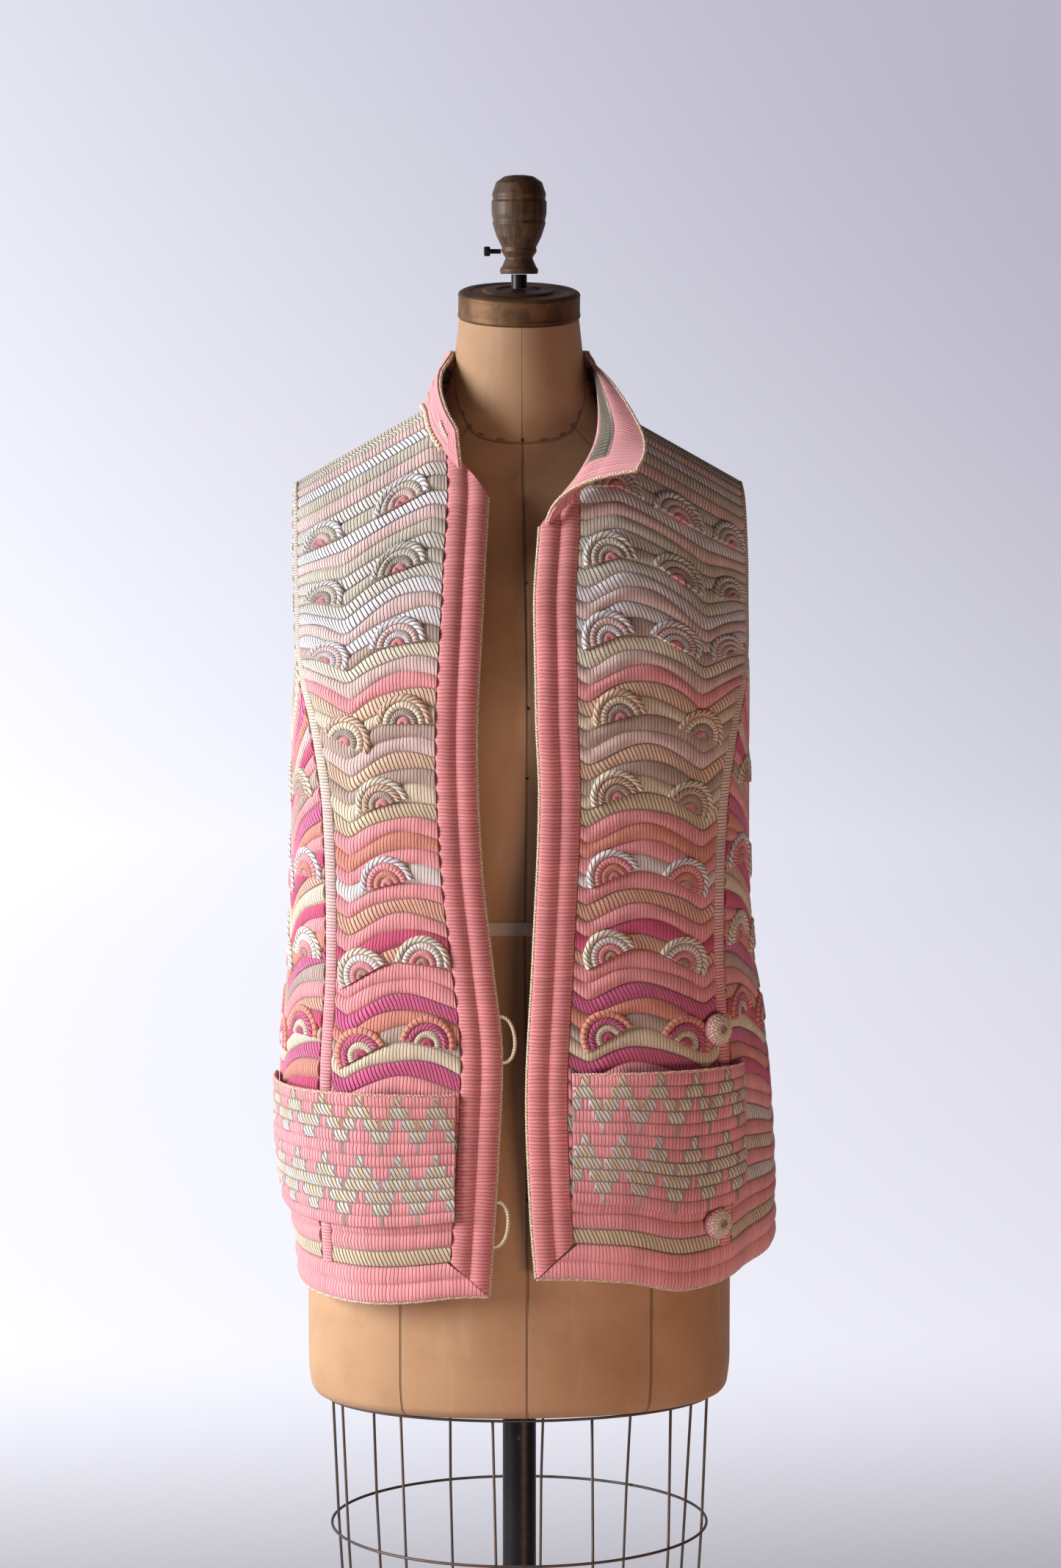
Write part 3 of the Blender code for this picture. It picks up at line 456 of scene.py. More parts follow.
def give_look(item, yarn, stitch):
    """Stores each point's yarn colour and its place in the stitches."""
    mesh = item.data
    colour = mesh.color_attributes.new("yarn", "FLOAT_COLOR", "POINT")
    rgba = np.ones((len(mesh.vertices), 4), np.float32)
    rgba[:, :3] = np.asarray(yarn).reshape(-1, 3)
    colour.data.foreach_set("color", rgba.ravel())
    store_stitch(item, stitch)


def yarn_looks(letters):
    """Colour and lustre of the yarn of each letter."""
    colours = np.array([YARNS[letter] for letter in letters])
    return colours, np.array([float(letter.islower()) for letter in letters])


def quads(index):
    """Four-sided faces over a grid of point numbers, facing along columns x rows."""
    corners = (index[:-1, :-1], index[:-1, 1:], index[1:, 1:], index[1:, :-1])
    return np.stack(corners, axis=-1).reshape(-1, 4)


def strip(first, second):
    """Faces between two equal lines of point numbers."""
    return np.stack([first[:-1], first[1:], second[1:], second[:-1]], axis=-1)


def wall_faces(shape):
    """Faces of a closed wall: an outer grid, an inner grid that faces the other way, four edges."""
    out = np.arange(shape[0] * shape[1]).reshape(shape)
    low = out + out.size
    parts = [quads(out), quads(low)[:, ::-1], strip(low[0], out[0]), strip(out[-1], low[-1]),
             strip(out[:, 0], low[:, 0]), strip(low[:, -1], out[:, -1])]
    return np.concatenate(parts)


def add_wall(name, outer, inner, yarn, stitch, material, replaces=(), lining=None):
    """A closed wall of cloth between two grids; the inner face has the outer's look or its own."""
    points = np.concatenate([outer.reshape(-1, 3), inner.reshape(-1, 3)])
    item = add_piece(name, points, wall_faces(outer.shape[:2]), material, replaces)
    back = yarn if lining is None else lining
    give_look(item, np.stack([yarn, back]), np.stack([stitch, stitch]))
    return item


def ring_faces(rings, sides, closed=False):
    """Faces round a tube of rings, with its two ends capped or joined."""
    index = np.arange(rings * sides).reshape(rings, sides)
    grid = np.concatenate([index, index[:, :1]], axis=1)
    if closed:
        return [tuple(f) for f in quads(np.concatenate([grid, grid[:1]]))]
    return [tuple(f) for f in quads(grid)] + [tuple(index[0][::-1]), tuple(index[-1])]


def repeated(faces, count, size):
    """The faces of a number of like shapes of so many points each, one after the other."""
    return [tuple(v + i * size for v in f) for i in range(count) for f in faces]


def tube_rings(path, radius, sides, guide, closed=False):
    """Rings of points round a path; guide is a direction that never lies along it."""
    if closed:
        ahead = unit(np.roll(path, -1, axis=0) - np.roll(path, 1, axis=0))
    else:
        ahead = unit(np.gradient(path, axis=0))
    first = unit(np.cross(ahead, guide))
    second = np.cross(ahead, first)
    turn = np.linspace(0, 2 * math.pi, sides, endpoint=False)[None, :, None]
    wide = np.broadcast_to(np.asarray(radius, float), path.shape[:1])[:, None, None]
    return path[:, None] + wide * (np.cos(turn) * first[:, None] + np.sin(turn) * second[:, None])


def even_path(points, step, *others):
    """The same line with points a step apart, and other values read at the same places."""
    points = np.asarray(points, float)
    run = np.concatenate([[0], np.cumsum(np.linalg.norm(np.diff(points, axis=0), axis=1))])
    at = np.linspace(0, run[-1], max(3, int(run[-1] / step) + 1))
    read = [np.stack([np.interp(at, run, column) for column in v.T], axis=-1) for v in (points, *others)]
    return at, *read


def strands(path, guide, at, count, lay, thick, pitch, sides):
    """Points of strands twisted round a path: each circles it at a distance lay once every pitch."""
    ahead = unit(np.gradient(path, axis=0))
    first = unit(np.cross(ahead, guide))
    second = np.cross(ahead, first)
    made = []
    for i in range(count):
        turn = (2 * math.pi * (at / pitch + i / count))[:, None]
        middle = path + lay * (np.cos(turn) * first + np.sin(turn) * second)
        made.append(tube_rings(middle, thick, sides, guide))
    return np.stack(made)


def add_rope(name, points, normals, yarns, lay=0.00062, thick=0.00082, pitch=0.0052, step=0.0012,
             sides=6, lustre=0.4, replaces=()):
    """A cord along a line: a strand for each letter of its yarns, each strand a tube that circles
    the line at the distance lay once every pitch."""
    at, path, guide = even_path(points, step, np.broadcast_to(normals, np.shape(points)))
    rings = strands(path, guide, at, len(yarns), lay, thick, pitch, sides)
    faces = repeated(ring_faces(len(at), sides), len(yarns), len(at) * sides)
    item = add_piece(name, rings, faces, CORD, replaces, angle=80)
    yarn = np.stack([np.broadcast_to(YARNS[letter], rings.shape[1:]) for letter in yarns])
    along = np.broadcast_to(at[None, :, None], rings.shape[:3])
    stitch = np.stack([along, np.full(along.shape, 0.5), np.full(along.shape, lustre)], axis=-1)
    give_look(item, yarn, stitch)
    return item


def add_turned(name, profile, material, replaces, steps=96, place=(0, 0, 0), axis=(0, 0, 1)):
    """A profile of (height, radius) turned round an axis through a place, with closed ends."""
    height, radius = np.array(profile, float)[::-1].T
    turn = np.linspace(0, 2 * math.pi, steps, endpoint=False)
    points = np.stack([radius[:, None] * np.cos(turn), radius[:, None] * np.sin(turn),
                       height[:, None] + 0 * turn], axis=-1)
    turned = np.array(Vector(axis).to_track_quat("Z", "Y").to_matrix())
    points = points @ turned.T + np.array(place)
    return add_piece(name, points, ring_faces(len(height), steps), material, replaces, angle=32)


def fine_profile(rows, step):
    """A turned profile with points a step apart along a smooth line through its rows."""
    table = np.array(rows, float)
    run = np.concatenate([[0], np.cumsum(np.hypot(*np.diff(table, axis=0).T))])
    at = np.arange(0, run[-1], step)
    line = np.stack([np.interp(at, run, table[:, i]) for i in (0, 1)], axis=-1)
    soft = line.copy()
    for _ in range(2):
        soft[1:-1] = (soft[:-2] + 2 * soft[1:-1] + soft[2:]) / 4
    return [tuple(table[0]), *map(tuple, soft[1:]), tuple(table[-1])]


# Materials

class Value:
    """A number that varies over a surface; arithmetic on it adds Math nodes."""

    def __init__(self, paint, socket):
        self.paint = paint
        self.socket = socket

    def maths(self, operation, *inputs):
        """The result of a Math node."""
        return self.paint.node("ShaderNodeMath", {"operation": operation}, inputs)

    def __add__(self, other):
        return self.maths("ADD", self, other)

    def __sub__(self, other):
        return self.maths("SUBTRACT", self, other)

    def __rsub__(self, other):
        return self.maths("SUBTRACT", other, self)

    def __mul__(self, other):
        return self.maths("MULTIPLY", self, other)

    def __abs__(self):
        return self.maths("ABSOLUTE", self)

    __radd__ = __add__
    __rmul__ = __mul__

    def fraction(self):
        """What is left over the whole number below."""
        return self.maths("FRACT", self)

    def floor(self):
        """The whole number below."""
        return self.maths("FLOOR", self)

    def between(self, low, high):
        """0 below low, 1 above high and a soft step between them."""
        return self.paint.node("ShaderNodeMapRange", {"interpolation_type": "SMOOTHSTEP"},
                               {"Value": self, "From Min": low, "From Max": high})


class Paint:
    """A material whose nodes are made from expressions."""

    def __init__(self, name, **constants):
        self.material = bpy.data.materials.new(name)
        self.material.use_nodes = True
        self.tree = self.material.node_tree
        self.surface = self.tree.nodes["Principled BSDF"]
        for key, value in constants.items():
            self.surface.inputs[key.replace("_", " ")].default_value = value

    def node(self, kind, settings, inputs, output=0):
        """Adds a node with its settings and inputs, and gives one of its outputs."""
        item = self.tree.nodes.new(kind)
        for key, value in settings.items():
            setattr(item, key, value)
        pairs = inputs.items() if isinstance(inputs, dict) else enumerate(inputs)
        for key, value in pairs:
            self.join(item.inputs[key], value)
        return Value(self, item.outputs[output])

    def join(self, socket, value):
        """Links a value to a socket, or sets the socket to a plain number or colour."""
        if isinstance(value, Value):
            self.tree.links.new(value.socket, socket)
        else:
            socket.default_value = value

    def mix(self, share, first, second, blend="MIX"):
        """Two colours mixed by a share; plain colours are given as three numbers."""
        colours = [c if isinstance(c, Value) else (*c, 1) for c in (first, second)]
        settings = {"data_type": "RGBA", "blend_type": blend}
        return self.node("ShaderNodeMix", settings, {0: share, 6: colours[0], 7: colours[1]}, 2)

    def attribute(self, name, output):
        """What the mesh stores for each point under a name."""
        return self.node("ShaderNodeAttribute", {"attribute_name": name}, (), output)

    def parts(self, vector):
        """The three numbers of a vector."""
        return [self.node("ShaderNodeSeparateXYZ", {}, (vector,), i) for i in range(3)]

    def joined(self, *numbers):
        """A vector of three numbers."""
        return self.node("ShaderNodeCombineXYZ", {}, numbers)

    def object_place(self):
        """The place on the object, in metres."""
        return self.node("ShaderNodeTexCoord", {}, (), "Object")

    def noise(self, vector, scale, detail=2.0, roughness=0.55):
        """Cloudy noise, about 0.5 on the whole."""
        inputs = {"Vector": vector, "Scale": scale, "Detail": detail, "Roughness": roughness}
        return self.node("ShaderNodeTexNoise", {}, inputs)

    def dots(self, vector):
        """One random number for each whole number of the vector."""
        return self.node("ShaderNodeTexWhiteNoise", {}, (vector,))

    def shade(self, colour, share):
        """A colour made darker by a share that varies."""
        return self.mix(1.0, colour, self.joined(share, share, share), "MULTIPLY")

    def finish(self, colour, roughness, height, depth, metallic=None, glow=None):
        """Joins the results to the shader, with the height as a bump of so many metres."""
        self.join(self.surface.inputs["Base Color"], colour)
        self.join(self.surface.inputs["Roughness"], roughness)
        if metallic is not None:
            self.join(self.surface.inputs["Metallic"], metallic)
        if glow is not None:
            self.join(self.surface.inputs["Emission Color"], glow)
        inputs = {"Strength": 1.0, "Distance": depth, "Height": height}
        bump = self.node("ShaderNodeBump", {}, inputs, "Normal")
        self.join(self.surface.inputs["Normal"], bump)
        return self.material


# Linen: girth from the centre front to the centre back as the paint reads it, seams at such girths,
# and the level of the neck line at the centre front
FORM_GIRTH = 0.44
SEAM_TURNS = (0.0, 0.084, 0.220, 0.350, FORM_GIRTH)
NECK_LINE = 1.379
WEAVE_THREADS = 1250.0

GROOVE_BROWN = (0.17, 0.065, 0.048)
LINEN_DARK = (0.37, 0.200, 0.095)
LINEN_LIGHT = (0.56, 0.345, 0.190)
LINEN_STAIN = (0.40, 0.220, 0.105)
LINEN_WORN = (0.66, 0.48, 0.33)


def crochet_paint(name, wool_pitch, rayon_pitch, slant, depth, sheen):
    """Crochet: stitches stand across each course, upright in wool and slanted in rayon. A stitch is
    a parabola across its pitch; painted shade darkens the grooves between stitches and a painted
    highlight lightens the crowns of rayon; the joins between courses carry a dark brown line that
    is partly joining thread and partly painted shade; each stitch has its own tone."""
    paint = Paint(name, Sheen_Weight=sheen, Sheen_Roughness=0.45, Specular_IOR_Level=0.35)
    yarn = paint.attribute("yarn", "Color")
    along, across, lustre = paint.parts(paint.attribute("stitch", "Vector"))
    place = paint.object_place()
    wobble = paint.noise(place, 45.0)
    run = along * ((1 / rayon_pitch - 1 / wool_pitch) * lustre + 1 / wool_pitch)
    run = run + lustre * across * slant + wobble * 1.1
    beat = run.fraction() * 2 - 1
    crown = 1 - beat * beat
    soft_edge = (across * (1 - across) * 4).between(0.0, 0.36)
    fuzz = paint.noise(place, 1100.0, 3.0)
    twist = (run * 2.0 + across * 5.0).fraction() * 2 - 1
    ply = 1 - twist * twist
    thread = crown.between(0.05, 0.75)
    height = thread * (lustre * 0.5 + 0.7) * soft_edge + ply * lustre * 0.25 + fuzz * 0.30
    tone = paint.dots(paint.joined(run.floor(), lustre * 7.0, (along * 14.0).floor()))
    patch = paint.noise(place, 30.0, 3.0)
    # Painted shade: the colour is darkened in the grooves between stitches, most in rayon.
    groove_painted_shade = 1 - (1 - thread) * (lustre * 0.34 + 0.24)
    # Painted highlight: the crowns of rayon stitches are lightened along their ply.
    painted_highlight = lustre * thread * ply * 0.30 + 1
    share = groove_painted_shade * painted_highlight * (tone * 0.18 + 0.93) * (patch * 0.20 + 0.90)
    # Dark brown line along the joins between courses: partly a brown joining thread, partly painted shade
    # in the join; noise makes it patchy.
    worn = paint.noise(place, 70.0, 2.0).between(0.30, 0.65)
    join_thread_and_shade = (1 - soft_edge) * (lustre * 0.36 + 0.30) * (1 - thread * 0.55) * (worn * 0.6 + 0.4)
    colour = paint.mix(join_thread_and_shade, paint.shade(yarn, share), GROOVE_BROWN)
    roughness = 0.94 - lustre * thread * 0.50 + fuzz * 0.06
    return paint.finish(colour, roughness, height, depth)


def linen_paint():
    """Old linen pasted on a shell: a fine weave, brown stains, dark seams, worn light patches, and
    painted shade that darkens the neck.
    """
    paint = Paint("aged_linen", Specular_IOR_Level=0.4, Sheen_Weight=0.08)
    turn, level, _ = paint.parts(paint.attribute("stitch", "Vector"))
    place = paint.object_place()
    x, y, z = paint.parts(place)
    stain = paint.noise(place, 6.0, 5.0, 0.62)
    patch = paint.noise(place, 24.0, 4.0, 0.6)
    streak = paint.noise(paint.joined(x * 60.0, y * 60.0, z * 9.0), 1.0, 3.0)
    warp = (turn * WEAVE_THREADS).fraction() * 2 - 1
    weft = (level * WEAVE_THREADS).fraction() * 2 - 1
    weave = (1 - warp * warp) * 0.5 + (1 - weft * weft) * 0.5
    around = level - turn * turn * 1.6 - NECK_LINE
    below = 1 - around.between(-0.0006, 0.0006)
    seams = None
    for at in SEAM_TURNS:
        near = 1 - abs(turn - at).between(0.0004, 0.0013)
        if at not in (0, FORM_GIRTH):
            near = near * below
        seams = near if seams is None else seams.maths("MAXIMUM", seams, near)
    curve = 1 - abs(around).between(0.0004, 0.0012)
    dash = ((turn * 34.0).fraction() - 0.62).between(0.0, 0.02)
    dashes = (1 - abs(around - 0.0015).between(0.0006, 0.0012)) * dash
    light = paint.mix(stain.between(0.30, 0.72), LINEN_DARK, LINEN_LIGHT)
    light = paint.mix(patch.between(0.42, 0.75) * 0.45, light, LINEN_STAIN)
    light = paint.mix(streak.between(0.55, 0.8) * 0.22, light, LINEN_WORN)
    light = paint.mix(dashes * 0.7, light, GROOVE_BROWN)
    # Painted shade: the linen is darkened from 1.35 m up the neck, for the shade of the collar and cap.
    neck_painted_shade = 1 - level.between(1.35, 1.43) * 0.24
    share = (weave * 0.10 + 0.94) * (1 - seams * 0.45) * (1 - curve * 0.35) * neck_painted_shade
    height = weave * 0.25 + patch * 0.5 - (seams + curve) * 2.5
    return paint.finish(paint.shade(light, share), 0.72 - stain * 0.14, height, 0.00035)


def brass_paint():
    """Dark bronzed brass with brown patina, brighter where hands have rubbed it."""
    paint = Paint("bronzed_brass", Specular_IOR_Level=0.5)
    place = paint.object_place()
    patina = paint.noise(place, 28.0, 5.0, 0.65)
    scratch = paint.noise(place, 260.0, 3.0)
    colour = paint.mix(patina.between(0.35, 0.7), (0.052, 0.026, 0.013), (0.18, 0.090, 0.038))
    roughness = 0.44 + patina * 0.25 + scratch * 0.08
    metal = patina.between(0.30, 0.50) * 0.30 + 0.30
    return paint.finish(colour, roughness, scratch * 0.4 + patina, 0.0003, metal)


def wood_paint():
    """Turned hardwood: grain runs up the turning, with a dull brown polish worn at the beads."""
    paint = Paint("polished_wood", Coat_Weight=0.06, Coat_Roughness=0.35, Specular_IOR_Level=0.3)
    x, y, z = paint.parts(paint.object_place())
    grain = paint.noise(paint.joined(x * 420.0, y * 420.0, z * 22.0), 1.0, 5.0, 0.6)
    cloud = paint.noise(paint.joined(x * 40.0, y * 40.0, z * 30.0), 1.0, 3.0)
    colour = paint.mix(grain.between(0.3, 0.7), (0.024, 0.012, 0.006), (0.085, 0.040, 0.015))
    colour = paint.mix(cloud.between(0.5, 0.8) * 0.4, colour, (0.095, 0.080, 0.055))
    return paint.finish(colour, 0.46 + grain * 0.16, grain, 0.00008)


def iron_paint():
    """Black enamel on cast iron, with orange peel, dust and a few chips of brown."""
    paint = Paint("black_enamel", Coat_Weight=0.05, Coat_Roughness=0.2, Specular_IOR_Level=0.22)
    place = paint.object_place()
    peel = paint.noise(place, 160.0, 2.0)
    chip = paint.noise(place, 48.0, 5.0, 0.7).between(0.64, 0.70)
    dust = paint.noise(place, 9.0, 4.0)
    colour = paint.mix(dust.between(0.4, 0.9) * 0.35, (0.007, 0.007, 0.008), (0.045, 0.038, 0.032))
    colour = paint.mix(chip, colour, (0.12, 0.06, 0.03))
    roughness = 0.28 + dust * 0.2 + chip * 0.3
    return paint.finish(colour, roughness, peel - chip * 1.5, 0.0004, chip * 0.2 + 0.1)


def wire_paint():
    """Dull steel wire with specks of rust."""
    paint = Paint("dull_wire", Specular_IOR_Level=0.5)
    place = paint.object_place()
    rust = paint.noise(place, 85.0, 5.0, 0.7)
    colour = paint.mix(rust.between(0.45, 0.70), (0.11, 0.095, 0.085), (0.12, 0.055, 0.028))
    return paint.finish(colour, 0.42 + rust * 0.3, rust, 0.0002, 0.85 - rust.between(0.45, 0.7) * 0.6)


def tape_paint():
    """Unbleached twill tape with fine diagonal ribs."""
    paint = Paint("twill_tape", Specular_IOR_Level=0.3, Sheen_Weight=0.15)
    along, across, _ = paint.parts(paint.attribute("stitch", "Vector"))
    rib = (along * 900.0 + across * 6.0).fraction() * 2 - 1
    rib = 1 - rib * rib
    soil = paint.noise(paint.object_place(), 70.0, 4.0)
    colour = paint.mix(soil.between(0.3, 0.8), (0.80, 0.70, 0.58), (0.68, 0.56, 0.43))
    return paint.finish(paint.shade(colour, rib * 0.18 + 0.82), 0.85 - soil * 0.1, rib, 0.0002)


def backdrop_paint():
    """Matt paper with a faint grain; the wall glows, whiter low down on the window's side."""
    paint = Paint("pale_paper", Specular_IOR_Level=0.2, Emission_Strength=1.0)
    grain = paint.noise(paint.object_place(), 400.0, 3.0)
    wide = paint.noise(paint.object_place(), 0.8, 2.0)
    x, y, z = paint.parts(paint.object_place())
    wall = y.between(0.9, 3.2)
    low = (z * -0.20 - x * 0.17 + 0.25).between(-0.7, 0.9)
    glow = paint.mix(low, (0.32, 0.315, 0.385), (1.02, 1.04, 1.12))
    glow = paint.shade(glow, wall)
    colour = paint.mix(wide, (0.42, 0.42, 0.47), (0.46, 0.46, 0.51))
    return paint.finish(colour, 0.9 - wide * 0.05, grain, 0.0002, glow=glow)


CROCHET = crochet_paint("crochet_wool_rayon", 0.0025, 0.0029, 1.5, 0.0013, 0.30)
BORDER = crochet_paint("crochet_border_wool", 0.0027, 0.0022, 0.6, 0.0009, 0.40)
CORD = crochet_paint("twisted_cord", 0.0030, 0.0014, 1.5, 0.0004, 0.3)
LINEN = linen_paint()
BRASS = brass_paint()
WOOD = wood_paint()
IRON = iron_paint()
WIRE = wire_paint()
TAPE = tape_paint()
PAPER = backdrop_paint()


# Vest

def course_rows(count):
    """Lines up a panel of courses: share of its height, place within the course, course number."""
    course = np.repeat(np.arange(count), len(COURSE_LINES))
    place = np.tile(COURSE_LINES, count)
    return (course + place) / count, place, course


def crown_across(place):
    """The height across a course: 0 at its edges and 1 in its middle, by a power of the distance
    from the middle."""
    return 1 - np.abs(2 * place - 1) ** CROWN_POWER


def hand_dyed(girth, level):
    """Slow changes of tone along a hank of yarn, as a sum of three waves of both coordinates."""
    wave = np.sin(girth * 61 + level * 37) + np.sin(girth * 23 - level * 83 + 1.7)
    return 1 + 0.022 * (wave + np.sin(girth * 139 + 0.6))


def panel(name, node, start, end, columns, letters, slot, top, strip_side=0):
    """A ribbed panel: courses evenly spread from the hem border to its top, each a crown that is high
    in wool and low in rayon. A front has an upright strip of stitches beside its princess seam."""
    share, place, course = course_rows(len(letters))
    share, place = share[:, None], place[:, None]
    inset = STRIP_WIDTH * np.concatenate([COURSE_LINES, [1.03]]) if strip_side else np.zeros(1)
    across = np.linspace(0, 1, columns + 1)[1:]
    part = np.concatenate([np.zeros(len(inset)), across])
    offset = np.concatenate([inset, np.full(columns, inset[-1])])

    def girths(level):
        first, last = start(level) + SEAM_GAP / 2, end(level) - SEAM_GAP / 2
        if strip_side > 0:
            return last - (last - first) * part[::-1] - offset[::-1] * (1 - part[::-1])
        return first + (last - first) * part + offset * (1 - part)

    foot = girths(np.array([[SEAM_FOOT]]))
    high = top(np.broadcast_to(np.linspace(0, 1, foot.shape[1]), foot.shape))
    plain = level_at(foot, share, high)
    level = rippled(girths(plain), plain)
    girth = girths(level)
    yarn, lustre = [looks[course] for looks in yarn_looks(letters)]
    rise = np.where(lustre[:, None] > 0, RAYON_CROWN, WOOL_CROWN) * crown_across(place)
    height = CLOTH_THICK + rise + 0 * girth
    yarn = yarn[:, None] + 0 * girth[..., None]
    stitch = np.stack([girth, place + 0 * girth, lustre[:, None] + 0 * girth], axis=-1)
    if strip_side:
        edge = princess_girth(strip_side, level)
        inward = np.abs(girth - edge) / STRIP_WIDTH
        on_strip, inward = inward < 1, np.clip(inward, 0, 1)
        height = np.where(on_strip, CLOTH_THICK + WOOL_CROWN * crown_across(inward), height)
        yarn = np.where(on_strip[..., None], strip_yarn(level), yarn)
        run = np.stack([level, inward, 0 * level], axis=-1)
        stitch = np.where(on_strip[..., None], run, stitch)
    yarn = yarn * hand_dyed(girth, level)[..., None]
    return add_wall(name, raised(girth, level, height), raised(girth, level, 0 * girth), yarn, stitch,
                    CROCHET, (node,))


def strip_yarn(level):
    """The upright strip changes from pink at the hem by cream to sage at the shoulder."""
    colours, _ = yarn_looks(STRIP_YARNS)
    return np.stack([np.interp(level, STRIP_LEVELS, part) for part in colours.T], axis=-1)


def shells(name, span, rows):
    """Shell stitches: rows of half-round fans of four rings, each turned to the slope of the ripple
    under it. Height is a crown across each ring; round a fan, the stitches run out from its core."""
    ring = np.repeat(np.arange(SHELL_RINGS), len(SHELL_LINES))
    place = np.tile(SHELL_LINES, SHELL_RINGS)
    reach = np.concatenate([[0.004], (ring + place) / SHELL_RINGS, [1.0]])
    ring = np.concatenate([[0], ring, [SHELL_RINGS - 1]])
    place = np.concatenate([[0.0], place, [1.0]])
    turn = np.concatenate([[0.0], np.linspace(0.0, math.pi, 19), [math.pi]])
    crown = (1 - (2 * place - 1) ** 2)[:, None]
    height = CLOTH_THICK + WOOL_CROWN * 0.85 + SHELL_CROWN * crown + 0 * turn
    height[[0, -1]] = height[:, [0, -1]] = CLOTH_THICK * 0.6
    points, yarns, stitches, faces = [], [], [], []
    across = (SHELL_RADIUS * reach[:, None]) * np.cos(turn)
    up = (SHELL_RADIUS * reach[:, None]) * np.sin(turn) * SHELL_STRETCH
    for number, letters in rows:
        low, high = span(level_at(np.mean(span(1.0)), number / COURSES))
        count = int((high - low) / (SHELL_SPACING * SHELL_RADIUS))
        tint, lustre = [looks[ring][:, None] for looks in yarn_looks(letters)]
        for centre in low + (high - low) * (np.arange(count) + 0.5) / max(count, 1):
            near = centre + np.array((-SLOPE_STEP, 0.0, SLOPE_STEP))
            foot = level_at(near, number / COURSES)
            slope = rippled(near, foot)
            tilt = math.atan((slope[2] - slope[0]) / (2 * SLOPE_STEP))
            girth = centre + across * math.cos(tilt) - up * math.sin(tilt)
            rise = across * math.sin(tilt) + up * math.cos(tilt)
            level = level_at(centre + 0 * girth, number / COURSES + rise / BODY_LENGTH)
            level = level + slope[1] - foot[1]
            index = np.arange(girth.size).reshape(girth.shape) + len(points) * girth.size
            points.append(raised(girth, level, height))
            yarns.append(tint * hand_dyed(girth, level)[..., None])
            stitch = (turn * 0.012 + 0 * girth, place[:, None] + 0 * girth, lustre + 0 * girth)
            stitches.append(np.stack(stitch, axis=-1))
            faces += [tuple(f) for f in quads(index)[:, ::-1]]
            faces.append((*index[0], *index[1:, -1], *index[-1, -2::-1], *index[-2:0:-1, 0]))
    item = add_piece(name, np.stack(points), faces, CROCHET, angle=60)
    give_look(item, np.stack(yarns), np.stack(stitches))
    return item


BODY_ENDS = [float(hem_level(0.09)) + HEM_WIDTH, SHOULDER_TOP]
BODY_LENGTH = float(np.ptp(np.interp(BODY_ENDS, LEVELS, LENGTHS)))


def whole_top(share):
    """A front's top: the shoulder seam, level all along."""
    return 0 * share + SHOULDER_TOP


# Each panel's first and last girth at a level
RIGHT_FRONT = (lambda z: princess_girth(-1, z), lambda z: band_inner_girth(-1, z))
LEFT_FRONT = (lambda z: band_inner_girth(1, z), lambda z: princess_girth(1, z))
RIGHT_SIDE = (lambda z: princess_girth(-1, z, back=True), lambda z: princess_girth(-1, z))
LEFT_SIDE = (lambda z: princess_girth(1, z), lambda z: princess_girth(1, z, back=True))
BACK = (lambda z: princess_girth(1, z, back=True),
        lambda z: 2 * HALF_GIRTH + princess_girth(-1, z, back=True))

front_right = panel("crochet_front_right", "front_right", *RIGHT_FRONT, FRONT_COLUMNS, BODY_COURSES,
                    "crochet_body", whole_top, strip_side=-1)
front_left = panel("crochet_front_left", "front_left", *LEFT_FRONT, FRONT_COLUMNS, BODY_COURSES,
                   "crochet_body", whole_top, strip_side=1)
side_right = panel("crochet_side_right", "side_right", *RIGHT_SIDE, SIDE_COLUMNS, SIDE_COURSES,
                   "crochet_side", lambda share: underarm_level(-1, share))
side_left = panel("crochet_side_left", "side_left", *LEFT_SIDE, SIDE_COLUMNS, SIDE_COURSES,
                  "crochet_side", lambda share: underarm_level(1, share))
back = panel("crochet_back", "back", *BACK, BACK_COLUMNS, BODY_COURSES, "crochet_body", back_top)


# Borders, collar and pockets

RIB_LINES = np.array((0.0, 0.03, 0.10, 0.22, 0.34, 0.44, 0.485,
                      0.515, 0.56, 0.66, 0.78, 0.90, 0.97, 1.0))
EDGE_LINE = np.array([-0.02])
RIB_HEIGHTS = CLOTH_THICK + BORDER_RIB_RAISE * np.abs(np.sin(2 * math.pi * RIB_LINES)) ** 0.6
# Painted shade: the front bands' yarn is made darker and redder, for the shade of their rolled ribs.
BAND_PAINTED_SHADE = np.array((0.84, 0.73, 0.71))
BAND_ROWS = 300
HEM_COLUMNS = 260


def border_look(run, girth, level, across):
    """Pink wool ribs: stitches lie across each rib, one after the other along the border."""
    yarn = np.array(YARNS["P"]) * hand_dyed(girth, level)[..., None] * 1.04
    stitch = np.stack([run, (across * 2) % 1 + 0 * run, 0 * run], axis=-1)
    return yarn, stitch


def band_grid(side, rows, lines):
    """Girths and levels of a front band: two upright ribs from the mitred hem corner to the neckline."""
    edge = FRONT_EDGE[side]
    seam = band_inner_girth(side, SEAM_FOOT)
    rise = np.linspace(0, 1, rows)[:, None]
    plain = level_at(seam, rise * BAND_SHARE[side])
    plain = rippled(band_inner_girth(side, plain), plain)
    corner = hem_level(edge(EDGE_FOOT) + side * BAND_WIDTH / 2) + 2 * SEAM_GAP
    shift = (corner - plain[0]) * (1 - rise) + (EDGE_TOP[side] - plain[-1]) * rise
    level = plain + shift * (1 - lines)
    return girth_at_x(edge(level) + side * (BAND_WIDTH - SEAM_GAP / 2) * lines, level), level


